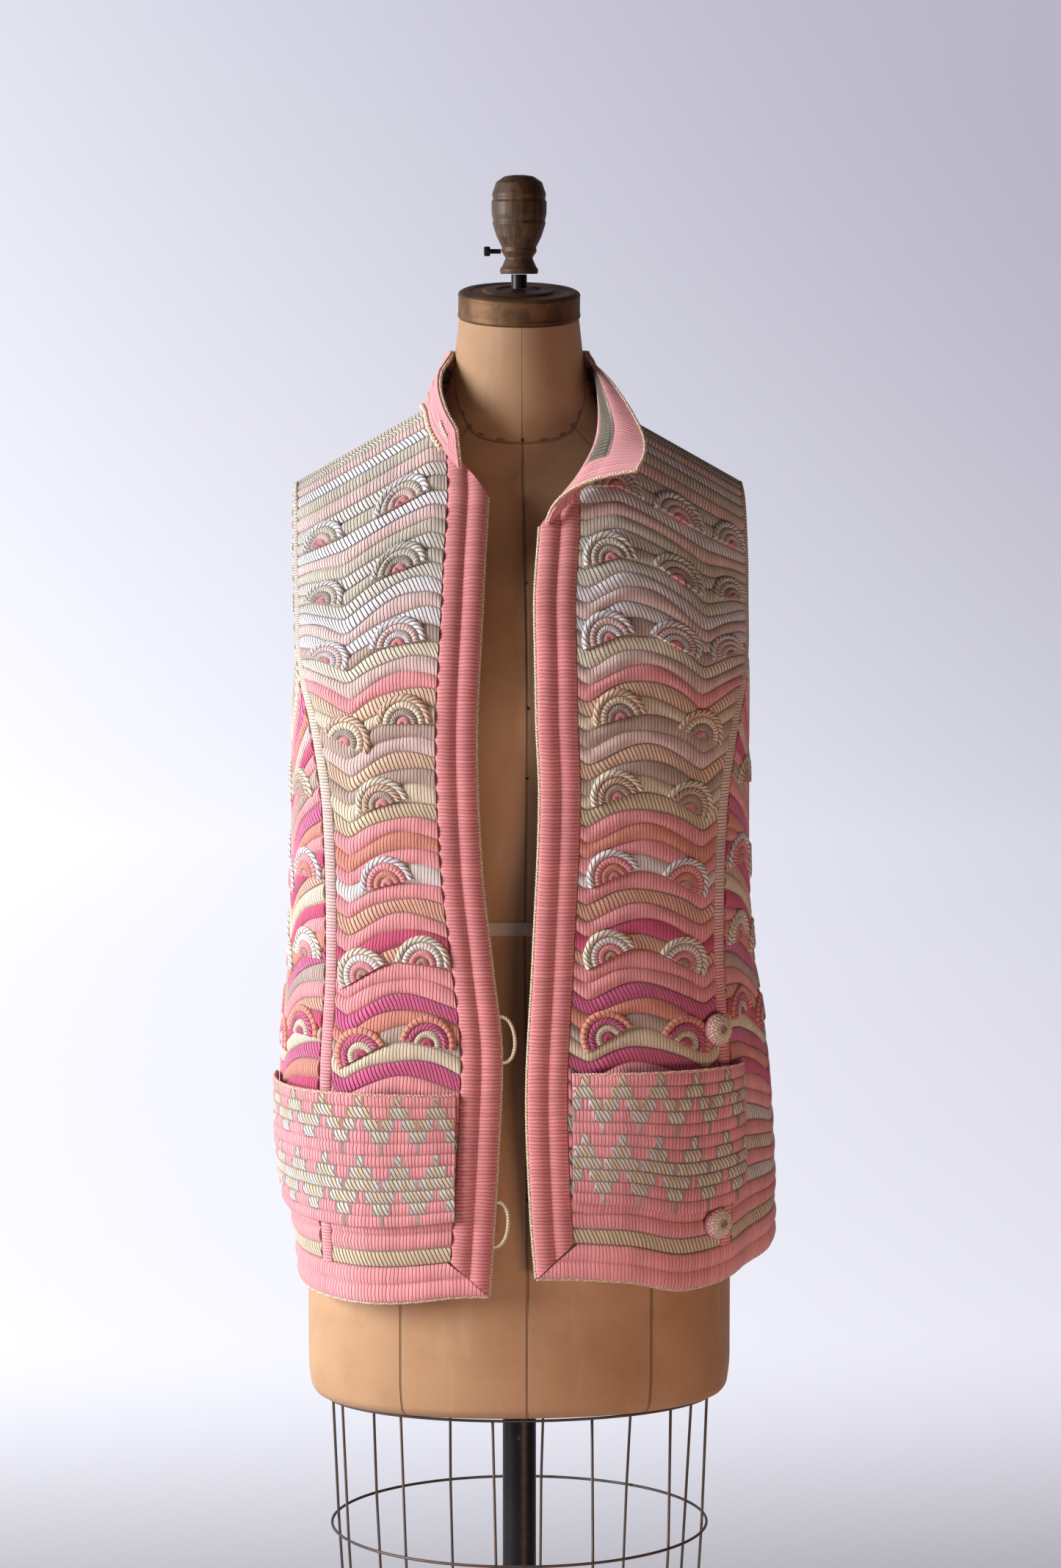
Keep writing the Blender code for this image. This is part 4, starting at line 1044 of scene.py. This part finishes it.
def front_band(name, node, side):
    """A front band: each of its two ribs is half a sine wave, flattened, across its width; its yarn is
    darkened by painted shade.
    """
    girth, level = band_grid(side, BAND_ROWS, RIB_LINES)
    lines, heights = RIB_LINES, RIB_HEIGHTS
    if side < 0:
        girth, level, lines, heights = girth[:, ::-1], level[:, ::-1], lines[::-1], heights[::-1]
    yarn, stitch = border_look(level, girth, level, lines)
    # The yarn carries painted shade.
    return add_wall(name, raised(girth, level, heights + 0 * girth), raised(girth, level, 0 * girth),
                    yarn * BAND_PAINTED_SHADE, stitch, BORDER, (node,))


def hem_grid(side, columns, lines):
    """Girths and levels of a hem border: two ribs from the mitred front corner to the centre back."""
    edge = FRONT_EDGE[side]
    rise = lines[:, None]
    start = girth_at_x(edge(EDGE_FOOT) + side * (BAND_WIDTH * rise + 2 * SEAM_GAP), EDGE_FOOT)
    end = side * (HALF_GIRTH - SEAM_GAP / 2)
    girth = start + (end - start) * np.linspace(0, 1, columns)
    corner = hem_level(edge(EDGE_FOOT) + side * BAND_WIDTH / 2)
    drop = (corner - hem_level(girth)) * np.exp(-((girth - start) / 0.030) ** 2)
    hem = hem_level(girth) + drop
    return girth, hem + (hem_level(girth) + drop * (1 - rise) + HEM_WIDTH - hem) * rise


def hem_border(name, node, side):
    """A hem border, ribbed across as the bands are."""
    girth, level = hem_grid(side, HEM_COLUMNS, RIB_LINES)
    if side < 0:
        girth, level = girth[:, ::-1], level[:, ::-1]
    yarn, stitch = border_look(girth, girth, level, RIB_LINES[:, None])
    height = RIB_HEIGHTS[:, None] + 0 * girth
    return add_wall(name, raised(girth, level, height), raised(girth, level, 0 * girth),
                    yarn, stitch, BORDER, (node,))


def neckline_base(side, share):
    """Points of the neck edge, from the centre back (0) by the shoulder (0.5) to the front (1)."""
    at_back = share < 0.5
    back_x = NECK_HALF * np.sin(math.pi * np.clip(share, 0, 0.5))
    neck = BACK_NECK_LEVEL + (SHOULDER_TOP - BACK_NECK_LEVEL) * (back_x / NECK_HALF) ** 4
    low = LEFT_NECKLINE[0][0] if side > 0 else RIGHT_NECKLINE[1][0]
    front_level = SHOULDER_TOP - (SHOULDER_TOP - low) * np.clip(2 * share - 1, 0, 1) ** 1.6
    back_girth = girth_at_share(back_x / half_width(neck), neck, True)
    front_girth = girth_at_x(NECKLINE[side](front_level), front_level)
    return side * np.where(at_back, back_girth, front_girth), np.where(at_back, neck, front_level)


COLLAR_LINES = np.array((0.0, 0.03, 0.05, 0.08, 0.15, 0.22, 0.25, 0.28, 0.35, 0.43, 0.46, 0.49, 0.53,
                         0.60, 0.66, 0.69, 0.72, 0.76, 0.84, 0.92, 0.98, 1.0))
COLLAR_INSIDE = "WWKKKKWPPPWKKKKWPPPPPP"
COLLAR_END = 0.928
BRAID_END = 0.9
BUTTONHOLE = ([5, 8, 11], [11, 12, 13])


def collar_sheet():
    """The collar's middle: at each station a curve from the neck edge by a bend to its top edge."""
    station = np.concatenate([[-1.0], np.linspace(-0.985, 0.925, 190), np.linspace(0.93, 1.0, 12)])
    right = neckline_base(-1, -station[station < 0])
    left = neckline_base(1, station[station >= 0])
    girth, level = np.concatenate([right, left], axis=-1)
    on_band = np.clip((np.abs(station) - 0.78) / 0.10, 0, 1)
    rib = RIB_RAISE + (BORDER_RIB_RAISE - RIB_RAISE) * on_band
    base = raised(girth, level, CLOTH_THICK + rib + 3 * SEAM_GAP)
    heading, bend_out, bend_up, top_out, top_up = [smooth_curve(COLLAR, i)(station) for i in range(1, 6)]
    side = np.where(station < 0, -1, 1)
    heading = np.radians(heading)
    outward = np.stack([side * np.sin(heading), -np.cos(heading), 0 * heading], axis=-1)
    upward = np.array((0, 0, 1.0))
    bend = base + outward * bend_out[:, None] + upward * bend_up[:, None]
    top = base + outward * top_out[:, None] + upward * top_up[:, None]
    share = COLLAR_LINES[None, :, None]
    curve = base[:, None] * (1 - share) ** 2 + bend[:, None] * 2 * share * (1 - share)
    return station, curve + top[:, None] * share ** 2


def make_collar():
    """Pink outside; inside, two bronze strips between silver lines, which show where the end rolls
    out. The relief is a low wave across each strip."""
    station, middle = collar_sheet()
    normal = unit(np.cross(np.gradient(middle, axis=0), np.gradient(middle, axis=1)))
    silver = np.array([float(letter == "W") for letter in COLLAR_INSIDE])
    relief = 0.0007 * (1 - silver) * (1 - 0.6 * np.abs(np.sin(COLLAR_LINES * 12.0)))
    outer = middle - normal * (CLOTH_THICK * 1.2 + relief[:, None])
    inner = middle + normal * relief[:, None]
    steps = np.linalg.norm(np.diff(middle[:, -1], axis=0), axis=1)
    run = np.cumsum(np.concatenate([[0], steps]))[:, None]
    across = (COLLAR_LINES * 3.4) % 1 + 0 * run
    inside, _ = yarn_looks(COLLAR_INSIDE)
    end = (np.abs(station) > COLLAR_END)[:, None]
    lining = np.where(end[..., None], np.array(YARNS["P"]), inside + 0 * run[..., None])
    stitch = np.stack([run + 0 * across, across, np.where(end, 0, silver) + 0 * run], axis=-1)
    yarn = np.array(YARNS["P"]) + 0 * lining
    item = add_wall("crochet_collar", outer, inner, yarn, stitch, BORDER,
                    ("collar",), lining)
    bar = outer[BUTTONHOLE] - normal[BUTTONHOLE] * 0.0006
    loop = add_rope("collar_buttonhole", bar, -normal[BUTTONHOLE], "Ee")
    edge = np.concatenate([middle[0], middle[1:-1, -1], middle[-1][::-1]])
    lift = np.concatenate([normal[0], normal[1:-1, -1], normal[-1][::-1]])
    rope = add_rope("edging_collar", edge, lift, "Eg")
    foot = np.abs(station) < BRAID_END
    seam = outer[foot, 0] - normal[foot, 0] * 0.0012
    braid = add_rope("collar_braid", seam, -normal[foot, 0], "Eg", lay=0.0010, thick=0.0013, pitch=0.008)
    return item, [rope, loop, braid]


def make_pocket(name, node, side):
    """A patch pocket of pink courses with silver and gold zigzags. It stands off the vest by half a
    sine wave across its mouth, which grows with a power of the height."""
    near, far, mouth = POCKETS[side]
    share, place, course = course_rows(POCKET_COURSES)
    share, place = share[:, None], place[:, None]
    columns = int((far - near) / 0.0017)
    across = np.linspace(0, 1, columns)
    girth = side * (near + (far - near) * across) + 0 * share
    if side < 0:
        girth = girth[:, ::-1]
    bottom = hem_level(girth[0]) + HEM_WIDTH + POCKET_RISE
    level = bottom + (mouth - bottom) * share
    gape = POCKET_GAPE * share ** 1.5 * np.sin(math.pi * across)
    lift = CLOTH_THICK + RIB_RAISE + 3 * SEAM_GAP + gape
    zigzag = np.abs((girth / ZIGZAG_WIDTH) % 1 * 2 - 1)
    number = np.floor(course[:, None] + 0.5 + 2.6 * zigzag).astype(int)
    colours, shiny = yarn_looks(ZIGZAG_YARNS)
    yarn = colours[number] * hand_dyed(girth, level)[..., None]
    stitch = np.stack([girth, place + 0 * girth, shiny[number]], axis=-1)
    rise = POCKET_CROWN * crown_across(place) + 0.0001 * shiny[number]
    outer = raised(girth, level, lift + CLOTH_THICK + rise)
    inner = raised(girth, level, lift)
    item = add_wall(name, outer, inner, yarn, stitch, CROCHET, (node,))
    lip = raised(girth[-1], level[-1], lift[-1] + CLOTH_THICK)
    rope = add_rope("edging_" + node, lip, vest_normal(girth[-1], level[-1]), "Pg")
    return item, rope


band_right = front_band("crochet_band_right", "front_band_right", -1)
band_left = front_band("crochet_band_left", "front_band_left", 1)
hem_right = hem_border("crochet_hem_right", "hem_border_right", -1)
hem_left = hem_border("crochet_hem_left", "hem_border_left", 1)
collar, collar_ropes = make_collar()
pocket_right, pocket_right_rope = make_pocket("crochet_pocket_right", "pocket_right", -1)
pocket_left, pocket_left_rope = make_pocket("crochet_pocket_left", "pocket_left", 1)


def span_of(panel_ends, before=0.0, after=0.0):
    """A panel's first and last girth at a level, less what a strip takes before or after them."""
    return lambda z: (panel_ends[0](z) + before, panel_ends[1](z) - after)


shells_right = shells("shells_front_right", span_of(RIGHT_FRONT, before=STRIP_WIDTH), SHELL_ROWS)
shells_left = shells("shells_front_left", span_of(LEFT_FRONT, after=STRIP_WIDTH), SHELL_ROWS)
shells_back = shells("shells_back", span_of(BACK), SHELL_ROWS)
shells_side_right = shells("shells_side_right", span_of(RIGHT_SIDE), SIDE_SHELL_ROWS)
shells_side_left = shells("shells_side_left", span_of(LEFT_SIDE), SIDE_SHELL_ROWS)


def edge_line(girth, level, height=CLOTH_THICK / 2):
    """A line along an edge of the cloth, and the cloth's outward direction along it."""
    return raised(girth, level, height + 0 * girth), vest_normal(girth, level)


def front_edging(name, side):
    """Up a front edge, just outside its band."""
    girth, level = band_grid(side, 200, EDGE_LINE)
    return add_rope(name, *edge_line(girth[:, 0], level[:, 0]), "Eg")


def hem_edging(name, side):
    """Along the hem from the front corner to the centre back, just under its border."""
    girth, level = hem_grid(side, 300, EDGE_LINE)
    return add_rope(name, *edge_line(girth[0], level[0]), "Eg")


def armhole_edging(name, side):
    """Up the front's armhole edge from the underarm, over the shoulder and down the back's."""
    share = np.linspace(SIDE_SHARE, 1, 90)
    lines = []
    for behind in (False, True):
        foot = princess_girth(side, SEAM_FOOT, behind)
        plain = level_at(foot, share)
        level = rippled(princess_girth(side, plain, behind), plain)
        line, lift = edge_line(princess_girth(side, level, behind), level)
        lines.append((line, lift) if not behind else (line[::-1], lift[::-1]))
    path, guide = [np.concatenate(pair) for pair in zip(*lines)]
    return add_rope(name, path, guide, "Ls")


def underarm_edging(name, side, ends):
    """Along a side panel's top, from one of its princess seams to the other."""
    share = np.linspace(0, 1, 80)
    foot = ends[0](SEAM_FOOT) + (ends[1](SEAM_FOOT) - ends[0](SEAM_FOOT)) * share
    plain = level_at(foot, 1.0, underarm_level(side, share))
    level = rippled(ends[0](plain) + (ends[1](plain) - ends[0](plain)) * share, plain)
    girth = ends[0](level) + (ends[1](level) - ends[0](level)) * share
    return add_rope(name, *edge_line(girth, level), "Ls")


ropes_front = [front_edging("edging_front_right", -1), front_edging("edging_front_left", 1)]
ropes_hem = [hem_edging("edging_hem_right", -1), hem_edging("edging_hem_left", 1)]
ropes_arm = [armhole_edging("edging_armhole_right", -1), armhole_edging("edging_armhole_left", 1)]
ropes_underarm = [underarm_edging("edging_underarm_right", -1, RIGHT_SIDE),
                  underarm_edging("edging_underarm_left", 1, LEFT_SIDE)]


# Buttons and loops

def make_button(name, node, level):
    """A crocheted dome: rounds of stitches, each a crown of radius and of angle, over a half ball."""
    girth = np.array(girth_at_x(BUTTON_X, level))
    normal = vest_normal(girth, np.array(level))
    place = vest_point(girth, np.array(level)) + normal * (CLOTH_THICK + RIB_RAISE + BUTTON_SEAT)
    turn = np.linspace(0, 2 * math.pi, 108, endpoint=False)
    rise = np.linspace(0.0, 1.0, 40)[:, None]
    lean = (0.10 + 0.88 * rise) * math.pi / 2
    rounds = (rise * BUTTON_ROUNDS) % 1
    stitches = BUTTON_STITCHES * turn / (2 * math.pi) + 0.35 * np.floor(rise * BUTTON_ROUNDS)
    crown = (1 - (2 * (stitches % 1) - 1) ** 2) * (1 - (2 * rounds - 1) ** 4)
    bulge = 0.0009 * crown
    radius = (BUTTON_RADIUS - 0.0006 + bulge) * np.cos(lean)
    height = 0.0026 + (0.0064 + bulge) * np.sin(lean)
    dome = np.stack([radius * np.cos(turn), radius * np.sin(turn), height + 0 * turn], axis=-1)
    rim = np.array([(0.62, 0.0), (0.90, 0.0004), (1.0, 0.0016)])
    radius = rim[:, :1] * BUTTON_RADIUS
    foot = np.stack([radius * np.cos(turn), radius * np.sin(turn), rim[:, 1:] + 0 * turn], axis=-1)
    points = np.concatenate([foot, dome])
    turned = np.array(Vector(normal).to_track_quat("Z", "Y").to_matrix())
    item = add_piece(name, points @ turned.T + place, ring_faces(len(points), len(turn)), CORD,
                     (node,), angle=80)
    colours, _ = yarn_looks("PPP" + "".join("PLEET"[int(4.99 * r)] for r in rise[:, 0]))
    yarn = colours[:, None] + np.zeros((1, len(turn), 3))
    band = np.concatenate([[0.5] * 3, rounds[:, 0]])[:, None]
    along = np.concatenate([np.broadcast_to(turn, (3, len(turn))) * 0.011, stitches * 0.0030])
    give_look(item, yarn, np.stack([along, band + 0 * along, 0.3 + 0 * along], axis=-1))
    return item


def make_loop(name, node, level):
    """A braided cord of three strands from the front edge and back to it. Its line runs down the
    edge by a cosine and stands off it by a power of the sine of the same angle."""
    turn = np.linspace(0, math.pi, 61)
    levels = level + LOOP_HEIGHT / 2 * np.cos(turn)
    middle = vest_point(girth_at_x(FRONT_EDGE[-1](levels), levels), levels)
    ends = np.clip(np.sin(turn) / math.sin(math.pi / 12), 0, 1)
    offset = LOOP_REACH * np.sin(turn) ** 0.8 + 2 * SEAM_GAP + (LOOP_CORD / 2 - SEAM_GAP) * ends
    path = middle + np.stack([offset, 0 * turn - CLOTH_THICK / 2, 0 * turn], axis=-1)
    return add_rope(name, path, (0.0, -1.0, 0.0), "EEE", thick=0.00074, pitch=0.0062, step=0.0006,
                    sides=8, lustre=0.3, replaces=(node,))


make_button("crochet_button_upper", "button_upper", 0.940)
make_button("crochet_button_lower", "button_lower", 0.795)
make_loop("braided_loop_upper", "loop_upper", 0.938)
make_loop("braided_loop_lower", "loop_lower", 0.800)


# Dress form and stand

def form_point(turn, height, out=0.0):
    """The torso's skin: a rounded section at each height, its neck sheared to the tilt of the cap."""
    half, front, behind, square = [smooth_curve(FORM_SECTIONS, i)(height) for i in range(1, 5)]
    across, forward = section_point(turn, square)
    depth = np.where(forward > 0, front, behind)
    tilted = np.clip((height - NECK_SEAM) / (NECK_TOP - NECK_SEAM), 0, 1) * math.tan(CAP_TILT)
    shear = tilted * depth * forward
    return np.stack([(half + out) * across, -(depth + out) * forward, height - shear], axis=-1)


def make_form():
    """The whole torso, closed at both ends, with the girth and the level stored for its paint."""
    turn = np.linspace(-math.pi, math.pi, 160, endpoint=False)
    rounded = np.linspace(FORM_SECTIONS[0][0], FORM_SECTIONS[2][0], 7)
    run = np.concatenate([rounded, np.linspace(0.6560, NECK_TOP, 270)])[:, None]
    item = add_piece("linen_form", form_point(turn, run), ring_faces(len(run), len(turn)), LINEN,
                     ("form_torso",))
    girth = np.abs(turn) / math.pi * FORM_GIRTH + 0 * run
    store_stitch(item, np.stack([girth, run + 0 * turn, 0 * girth], axis=-1))
    return item


def make_waist_tape():
    """A strip of tape round the waist, a shallow section carried round the form."""
    turn = np.linspace(0, 2 * math.pi, 200, endpoint=False)
    section = np.array([(-0.0050, 0.0001), (-0.0050, 0.0008), (0.0, 0.0009),
                        (0.0050, 0.0008), (0.0050, 0.0001)])
    rings = np.stack([form_point(turn, WAIST_LEVEL + up, out) for up, out in section], axis=1)
    faces = [tuple(f[::-1]) for f in ring_faces(len(turn), len(section), True)]
    item = add_piece("waist_tape", rings, faces, TAPE)
    along = np.abs(turn - math.pi)[:, None] * 0.12 + 0 * section[:, 0]
    across = section[:, 0] / 0.010 + 0.5 + 0 * along
    store_stitch(item, np.stack([along, across, 0 * along], axis=-1))
    return item


def make_nails():
    """Small domed nail heads down the centre front seam."""
    turn = np.linspace(0, 2 * math.pi, 10, endpoint=False)
    profile = np.array([(0.0013, -0.0004), (0.0013, 0.0002), (0.0009, 0.0006), (0.0003, 0.0008)])
    radius, out = profile[:, :1], profile[:, 1:]
    head = np.stack([radius * np.cos(turn), -out + 0 * turn, radius * np.sin(turn)], axis=-1)
    places = form_point(np.zeros(len(NAIL_LEVELS)), np.array(NAIL_LEVELS))
    faces = [f[::-1] for f in ring_faces(*head.shape[:2])]
    add_piece("nail_heads", head + places[:, None, None],
              repeated(faces, len(places), head.shape[0] * head.shape[1]), BRASS)


def make_neck_parts():
    """Cap, rod, turned finial and thumb screw."""
    tilt = (0, -math.sin(CAP_TILT), math.cos(CAP_TILT))
    foot = NECK_TOP + 2 * SEAM_GAP
    top, low = CAP_HEIGHT + 0.0012, CAP_HEIGHT - 0.0006
    cap = [(CAP_HEIGHT, 0.0085), (CAP_HEIGHT, 0.016), (top, 0.018), (top, 0.026), (low, 0.028),
           (low, 0.036), (CAP_HEIGHT, 0.038), (CAP_HEIGHT, 0.0432), (0.0188, 0.0456),
           (0.0172, 0.0465), (0.0156, CAP_RADIUS), (0.0040, CAP_RADIUS), (0.0024, 0.0466),
           (0.0008, 0.0466), (0.0, 0.0460)]
    add_turned("bronze_cap", fine_profile(cap, 0.0004), BRASS, ("neck_cap",), 128,
               (0, 0, foot), tilt)
    rod_foot = foot + CAP_HEIGHT / math.cos(CAP_TILT) + ROD_RADIUS * math.tan(CAP_TILT) + SEAM_GAP
    finial_foot = rod_foot + 0.011
    add_turned("iron_rod", [(0.0107, ROD_RADIUS), (0, ROD_RADIUS)], IRON,
               ("neck_rod",), 48, (0, 0, rod_foot))
    add_turned("wood_finial", fine_profile(FINIAL, 0.0005), WOOD, ("finial",), 112,
               (0, 0, finial_foot))
    screw = [(0.0130, 0.0020), (0.0127, 0.0033), (0.0120, 0.0037), (0.0090, 0.0037), (0.0083, 0.0033),
             (0.0080, 0.0018), (0.0, 0.0018)]
    add_turned("iron_screw", screw, IRON, ("finial_screw",), 32,
               (-0.0138, 0, finial_foot + 0.0170), (-1, 0, 0))


def make_stand():
    """Pole, cast base, and the cage: hoops are rings of an ellipse, wires run down over them."""
    bottom = FORM_SECTIONS[0][0]
    add_turned("iron_pole", [(bottom - SEAM_GAP, POLE_RADIUS), (0.0610 + SEAM_GAP, POLE_RADIUS)], IRON,
               ("pole",), 64)
    base = [(0.0610, 0.0240), (0.0590, 0.0290), (0.0400, 0.0320), (0.0300, 0.0600), (0.0230, 0.1200),
            (0.0160, 0.1800), (0.0100, BASE_RADIUS - 0.003), (0.0060, BASE_RADIUS), (0.0, BASE_RADIUS)]
    add_turned("iron_base", fine_profile(base, 0.0025), IRON, ("base",), 128)
    hoops = (("cage_hoop_top", bottom - CAGE_WIRE / 2 - SEAM_GAP, 0.1500, 0.1040),
             ("cage_hoop_middle", 0.5410, 0.1455, 0.1410),
             ("cage_hoop_bottom", CAGE_BOTTOM, 0.1320, 0.1300))
    turn = np.linspace(0, 2 * math.pi, HOOP_STEPS, endpoint=False)
    for node, height, across, deep in hoops:
        path = np.stack([across * np.sin(turn), -deep * np.cos(turn), height + 0 * turn], axis=-1)
        rings = tube_rings(path, CAGE_WIRE / 2, WIRE_SIDES, (0.0, 0.0, 1.0), closed=True)
        faces = ring_faces(HOOP_STEPS, WIRE_SIDES, True)
        add_piece("wire_" + node[5:], rings, faces, WIRE, (node,))
    inset = 1.5 * CAGE_WIRE
    for i in range(CAGE_WIRES):
        t = CAGE_TURN + 2 * math.pi * i / CAGE_WIRES
        line = np.array([((across - inset) * math.sin(t), -(deep - inset) * math.cos(t), height)
                         for _, height, across, deep in hoops])
        line[-1, 2] -= CAGE_WIRE
        _, path = even_path(line, 0.012)
        rings = tube_rings(path, CAGE_WIRE / 2, WIRE_SIDES, (math.cos(t), math.sin(t), 0.0))
        add_piece("wire_upright_%02d" % (i + 1), rings, ring_faces(len(path), WIRE_SIDES), WIRE,
                  ("cage_wire_%02d" % (i + 1),))


form = make_form()
waist_tape = make_waist_tape()
make_nails()
make_neck_parts()
make_stand()


# Camera, light and backdrop

def make_camera():
    """The photograph's view: 3.75 m away, a little above and to the wearer's right."""
    azimuth, pitch = math.radians(-3.0), math.radians(5.84)
    yaw = math.atan((PHOTO_WIDTH / 2 - FORM_AXIS_X) / FOCAL_PIXELS)
    level_right = Vector((math.cos(azimuth), math.sin(azimuth), 0))
    level_ahead = Vector((-math.sin(azimuth), math.cos(azimuth), 0))
    ahead = math.cos(yaw) * level_ahead + math.sin(yaw) * level_right
    right = math.cos(yaw) * level_right - math.sin(yaw) * level_ahead
    look = math.cos(pitch) * ahead + Vector((0, 0, -math.sin(pitch)))
    up = right.cross(look)
    camera = bpy.data.objects.new("camera", bpy.data.cameras.new("camera"))
    camera.data.sensor_width = 36
    camera.data.lens = FOCAL_PIXELS / PHOTO_HEIGHT * 36
    camera.data.clip_end = 50
    turn = Matrix((right, up, -look)).transposed().to_4x4()
    place = Vector((0, 0, CAMERA_LEVEL)) - CAMERA_AWAY * level_ahead
    camera.matrix_world = Matrix.Translation(place) @ turn
    bpy.context.scene.collection.objects.link(camera)
    bpy.context.scene.camera = camera


def make_light(name, place, target, size, power, colour):
    """A rectangle of light at a place, turned to a target."""
    data = bpy.data.lights.new(name, "AREA")
    data.shape = "RECTANGLE"
    data.size, data.size_y = size
    data.energy = power
    data.color = colour
    item = bpy.data.objects.new(name, data)
    item.location = place
    item.rotation_euler = (Vector(place) - Vector(target)).to_track_quat("Z", "Y").to_euler()
    bpy.context.scene.collection.objects.link(item)


def make_backdrop():
    """One sweep of paper: a floor, a quarter circle and a wall."""
    turn = np.linspace(0, math.pi / 2, 17)
    floor = np.array([(FLOOR_NEAR, 0.0), (FLOOR_FAR, 0.0)])
    bend = np.stack([FLOOR_FAR + SWEEP_RADIUS * np.sin(turn),
                     SWEEP_RADIUS - SWEEP_RADIUS * np.cos(turn)], axis=-1)[1:]
    line = np.concatenate([floor, bend, [(FLOOR_FAR + SWEEP_RADIUS, WALL_TOP)]])
    wide = np.array((-SWEEP_HALF, SWEEP_HALF))
    points = np.stack([wide + 0 * line[:, :1], line[:, :1] + 0 * wide, line[:, 1:] + 0 * wide], axis=-1)
    points[..., 2] -= 0.0002
    mesh = bpy.data.meshes.new("backdrop")
    faces = [tuple(f) for f in quads(np.arange(line.size).reshape(-1, 2))]
    mesh.from_pydata(points.reshape(-1, 3), [], faces)
    mesh.materials.append(PAPER)
    mesh.shade_smooth()
    item = bpy.data.objects.new("backdrop", mesh)
    bpy.context.scene.collection.objects.link(item)


make_camera()
make_light("window", (-2.8, -0.72, 1.70), (0, 0, 1.1), (1.2, 1.7), 172, (0.98, 0.98, 1.0))
make_light("room", (0.9, -1.7, 0.35), (0.08, -0.1, 0.75), (0.9, 0.5), 13, (1.0, 0.62, 0.45))
make_backdrop()
world = bpy.data.worlds.new("pale_room")
world.use_nodes = True
world.node_tree.nodes["Background"].inputs["Color"].default_value = (0.84, 0.66, 0.60, 1)
world.node_tree.nodes["Background"].inputs["Strength"].default_value = 0.12
bpy.context.scene.world = world
bpy.context.scene.view_settings.view_transform = "Standard"
